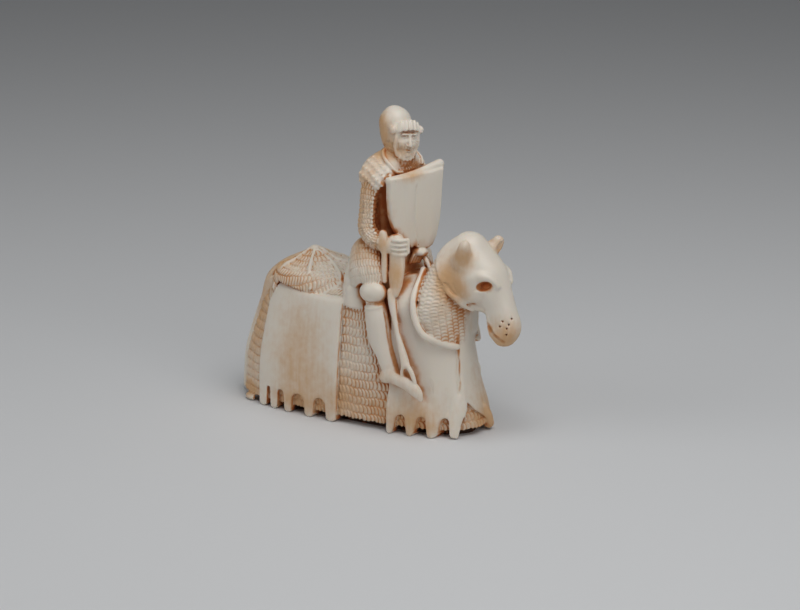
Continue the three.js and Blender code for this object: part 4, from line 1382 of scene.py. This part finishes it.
# Old colour caught in deep places: under the hands, in the eye, beside the leg and strap. Below 0, a
# hollow that was rubbed clean.
stainPlaces = (
    ((27.5, -3.6, 33.1), (1.6, 1.1, 0.9), 1.7), ((27.5, 3.6, 33.1), (1.6, 1.1, 0.9), 1.7),
    ((24.5, 4.6, 1), (2.4, 2, 1.6), 0.6), ((27.4, -2.7, 24.6), (0.8, 1, 0.8), 0.8),
    ((28.2, -2.7, 23.8), (0.8, 0.8, 0.9), 0.9), ((29.8, -2.7, 22.7), (1, 0.8, 0.5), 0.9),
    ((31.1, -2.1, 21.7), (0.8, 0.8, 0.5), 0.7), ((11, 1, 38.5), (3, 4, 2.2), -0.35),
    ((8.5, -1, 33.4), (2, 2.4, 2.2), 0.6), ((10.3, -10.8, 17.5), (0.8, 1.4, 4), 0.5),
    ((9.5, -2.5, 39), (4, 3.5, 1.6), 0.5), ((5, -6.4, 46.6), (2.4, 2.4, 6), 0.9),
    ((-29.6, -9.4, 0.4), (2, 1.5, 0.6), 0.5), ((20.85, -3.4, 19), (0.3, 0.5, 1.9), 2.6),
    ((21.3, -3.9, 16), (0.3, 0.5, 2.2), 2.6), ((21.8, -4.4, 12.6), (0.3, 0.5, 2.2), 2.6),
    ((3.4, -5.5, 47.5), (1, 1, 4.5), 0.7), ((20.5, -4, 24), (1.6, 1.8, 2.4), 0.4),
    ((1.5, -7.6, 54), (3, 2.2, 3), 0.42), ((25.1, -5.2, 40.3), (0.8, 1, 1.4), 0.5),
    ((14.6, -11, 20), (2, 3, 6), -0.6), ((17.6, -10.4, 11), (1.8, 3, 4), -0.8),
    ((16.4, -9.2, 11), (1.3, 1.5, 2.2), -0.8), ((0, -3, 64), (3, 3, 3), -0.1),
    ((14.8, -9.2, 26), (1.6, 2.4, 4), -0.3), ((19.4, -5.6, 21.6), (1.8, 1.8, 1.8), 0.35),
    ((4.5, -11, 27.7), (3.5, 2, 0.7), 0.5), ((13.3, -11, 14.2), (0.9, 1.5, 0.9), 0.9),
)


# Sum of soft patches at each point.
def spread(points, places):
    total = np.zeros(len(points), np.float32)
    for centre, size, strength in places:
        away = ((points - np.array(centre)) / np.array(size)) ** 2
        total += strength * np.exp(-away.sum(1))
    return total


def paint(mesh, shift):
    count = len(mesh.vertices)
    places, normals = np.zeros(count * 3, np.float32), np.zeros(count * 3, np.float32)
    mesh.vertices.foreach_get("co", places)
    mesh.vertices.foreach_get("normal", normals)
    points = places.reshape(-1, 3) * 1000 - shift
    u, v, mask = mailOn(points)
    stainAndShade = hollowness(points, normals.reshape(-1, 3)) + spread(points, stainPlaces)
    # The underside is dark inside its edge.
    # Painted shadow: inside its edge the underside, under the hem, is made near black, as shade falls there.
    x, y, z = points.T
    stainAndShade += 3 * ((bodyField(x, y, z) < -0.9) & (z < 1.6))
    for name, value in (("mailU", u), ("mailV", v), ("mailMask", mask), ("stainAndShade", stainAndShade),
                        ("tan", spread(points, tanPlaces) + 0.32 * mask)):
        setField(mesh, name, value)


material = carvedIvory()
framed, shift = toFrame(points)
sculptMesh = meshOf("knightClay", framed, quads)
u, v, mask = mailOn(points)
for name, value in (("mailU", u), ("mailV", v), ("mailMask", mask)):
    setField(sculptMesh, name, value)
raw = bpy.data.objects.new("knightClay", sculptMesh)
bpy.context.scene.collection.objects.link(raw)
say("mail laid out")

tree = reliefTree(material)
carving = raw.modifiers.new("carvedMail", "NODES")
carving.node_group = tree
keys = {item.name: item.identifier for item in tree.interface.items_tree if item.in_out == "INPUT"}
for name, value in relief.items():
    carving[keys[name]] = value
thin = raw.modifiers.new("thin", "DECIMATE")
thin.ratio = min(1, sculpt["triangles"] / (2 * len(quads)))
evaluated = raw.evaluated_get(bpy.context.evaluated_depsgraph_get())
finished = bpy.data.meshes.new_from_object(evaluated)
bpy.data.objects.remove(raw)
say(f"mail carved, {len(finished.polygons)} faces")

finished.name = "ivoryKnight"
for name in [a.name for a in finished.attributes if a.name.startswith("mail")]:
    finished.attributes.remove(finished.attributes[name])
paint(finished, shift)
finished.shade_smooth()
knight = bpy.data.objects.new("ivoryKnight", finished)
bpy.context.scene.collection.objects.link(knight)
if not finished.materials:
    finished.materials.append(material)
say("ivory painted")

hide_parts("knight")
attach(knight, "root")


# Floor, light and camera

studio = {
    "floor": "#d8d9da", "floorHalf": 6.0, "floorRough": 0.85, "air": "#c9cbce", "airStrength": 0.17,
    "aim": (0, 0, 0.03),
    # name, place, size and power of each lamp
    "lamps": (
        ("soft top", (0.13, -0.06, 0.40), 0.32, 0.94),
        ("soft front", (0.46, -0.2, 0.24), 0.30, 0.42),
        ("soft left", (-0.30, -0.36, 0.24), 0.34, 0.52),
    ),
}


def plainFloor():
    mesh = bpy.data.meshes.new("floor")
    wide = studio["floorHalf"]
    plan = [(-wide, -wide, 0), (wide, -wide, 0), (wide, wide, 0), (-wide, wide, 0)]
    mesh.from_pydata(plan, [], [(0, 1, 2, 3)])
    floor = bpy.data.objects.new("floor", mesh)
    bpy.context.scene.collection.objects.link(floor)
    paper = bpy.data.materials.new("palePaper")
    paper.use_nodes = True
    skin = paper.node_tree.nodes["Principled BSDF"]
    skin.inputs["Base Color"].default_value = colour(studio["floor"])
    skin.inputs["Roughness"].default_value = studio["floorRough"]
    mesh.materials.append(paper)


def softLight():
    for name, place, size, power in studio["lamps"]:
        lamp = bpy.data.lights.new(name, "AREA")
        lamp.size, lamp.energy = size, power
        holder = bpy.data.objects.new(name, lamp)
        holder.location = place
        look = Vector(studio["aim"]) - Vector(place)
        holder.rotation_euler = look.to_track_quat("-Z", "Y").to_euler()
        bpy.context.scene.collection.objects.link(holder)
    world = bpy.data.worlds.new("studio")
    bpy.context.scene.world = world
    world.use_nodes = True
    air = world.node_tree.nodes["Background"].inputs
    air[0].default_value, air[1].default_value = colour(studio["air"]), studio["airStrength"]


# The photograph's view: degrees, and millimetres for the distance, the target and the lens.
camera = {"azimuth": 35, "elevation": 16, "distance": 600, "target": (4.205, 0, 24.43), "lens": 128.54}


def setCamera():
    a, e = math.radians(camera["azimuth"]), math.radians(camera["elevation"])
    back = Vector((math.sin(a) * math.cos(e), -math.cos(a) * math.cos(e), math.sin(e)))
    target = Vector(camera["target"]) / 1000
    lens = bpy.data.cameras.new("camera")
    lens.lens, lens.sensor_width, lens.sensor_fit = camera["lens"], 36, "HORIZONTAL"
    lens.clip_start, lens.clip_end = 0.01, 30
    holder = bpy.data.objects.new("camera", lens)
    holder.location = target + back * camera["distance"] / 1000
    holder.rotation_euler = (-back).to_track_quat("-Z", "Y").to_euler()
    bpy.context.scene.collection.objects.link(holder)
    bpy.context.scene.camera = holder


plainFloor()
softLight()
setCamera()
bpy.context.scene.view_settings.view_transform = "Standard"

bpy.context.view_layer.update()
say("scene ready")
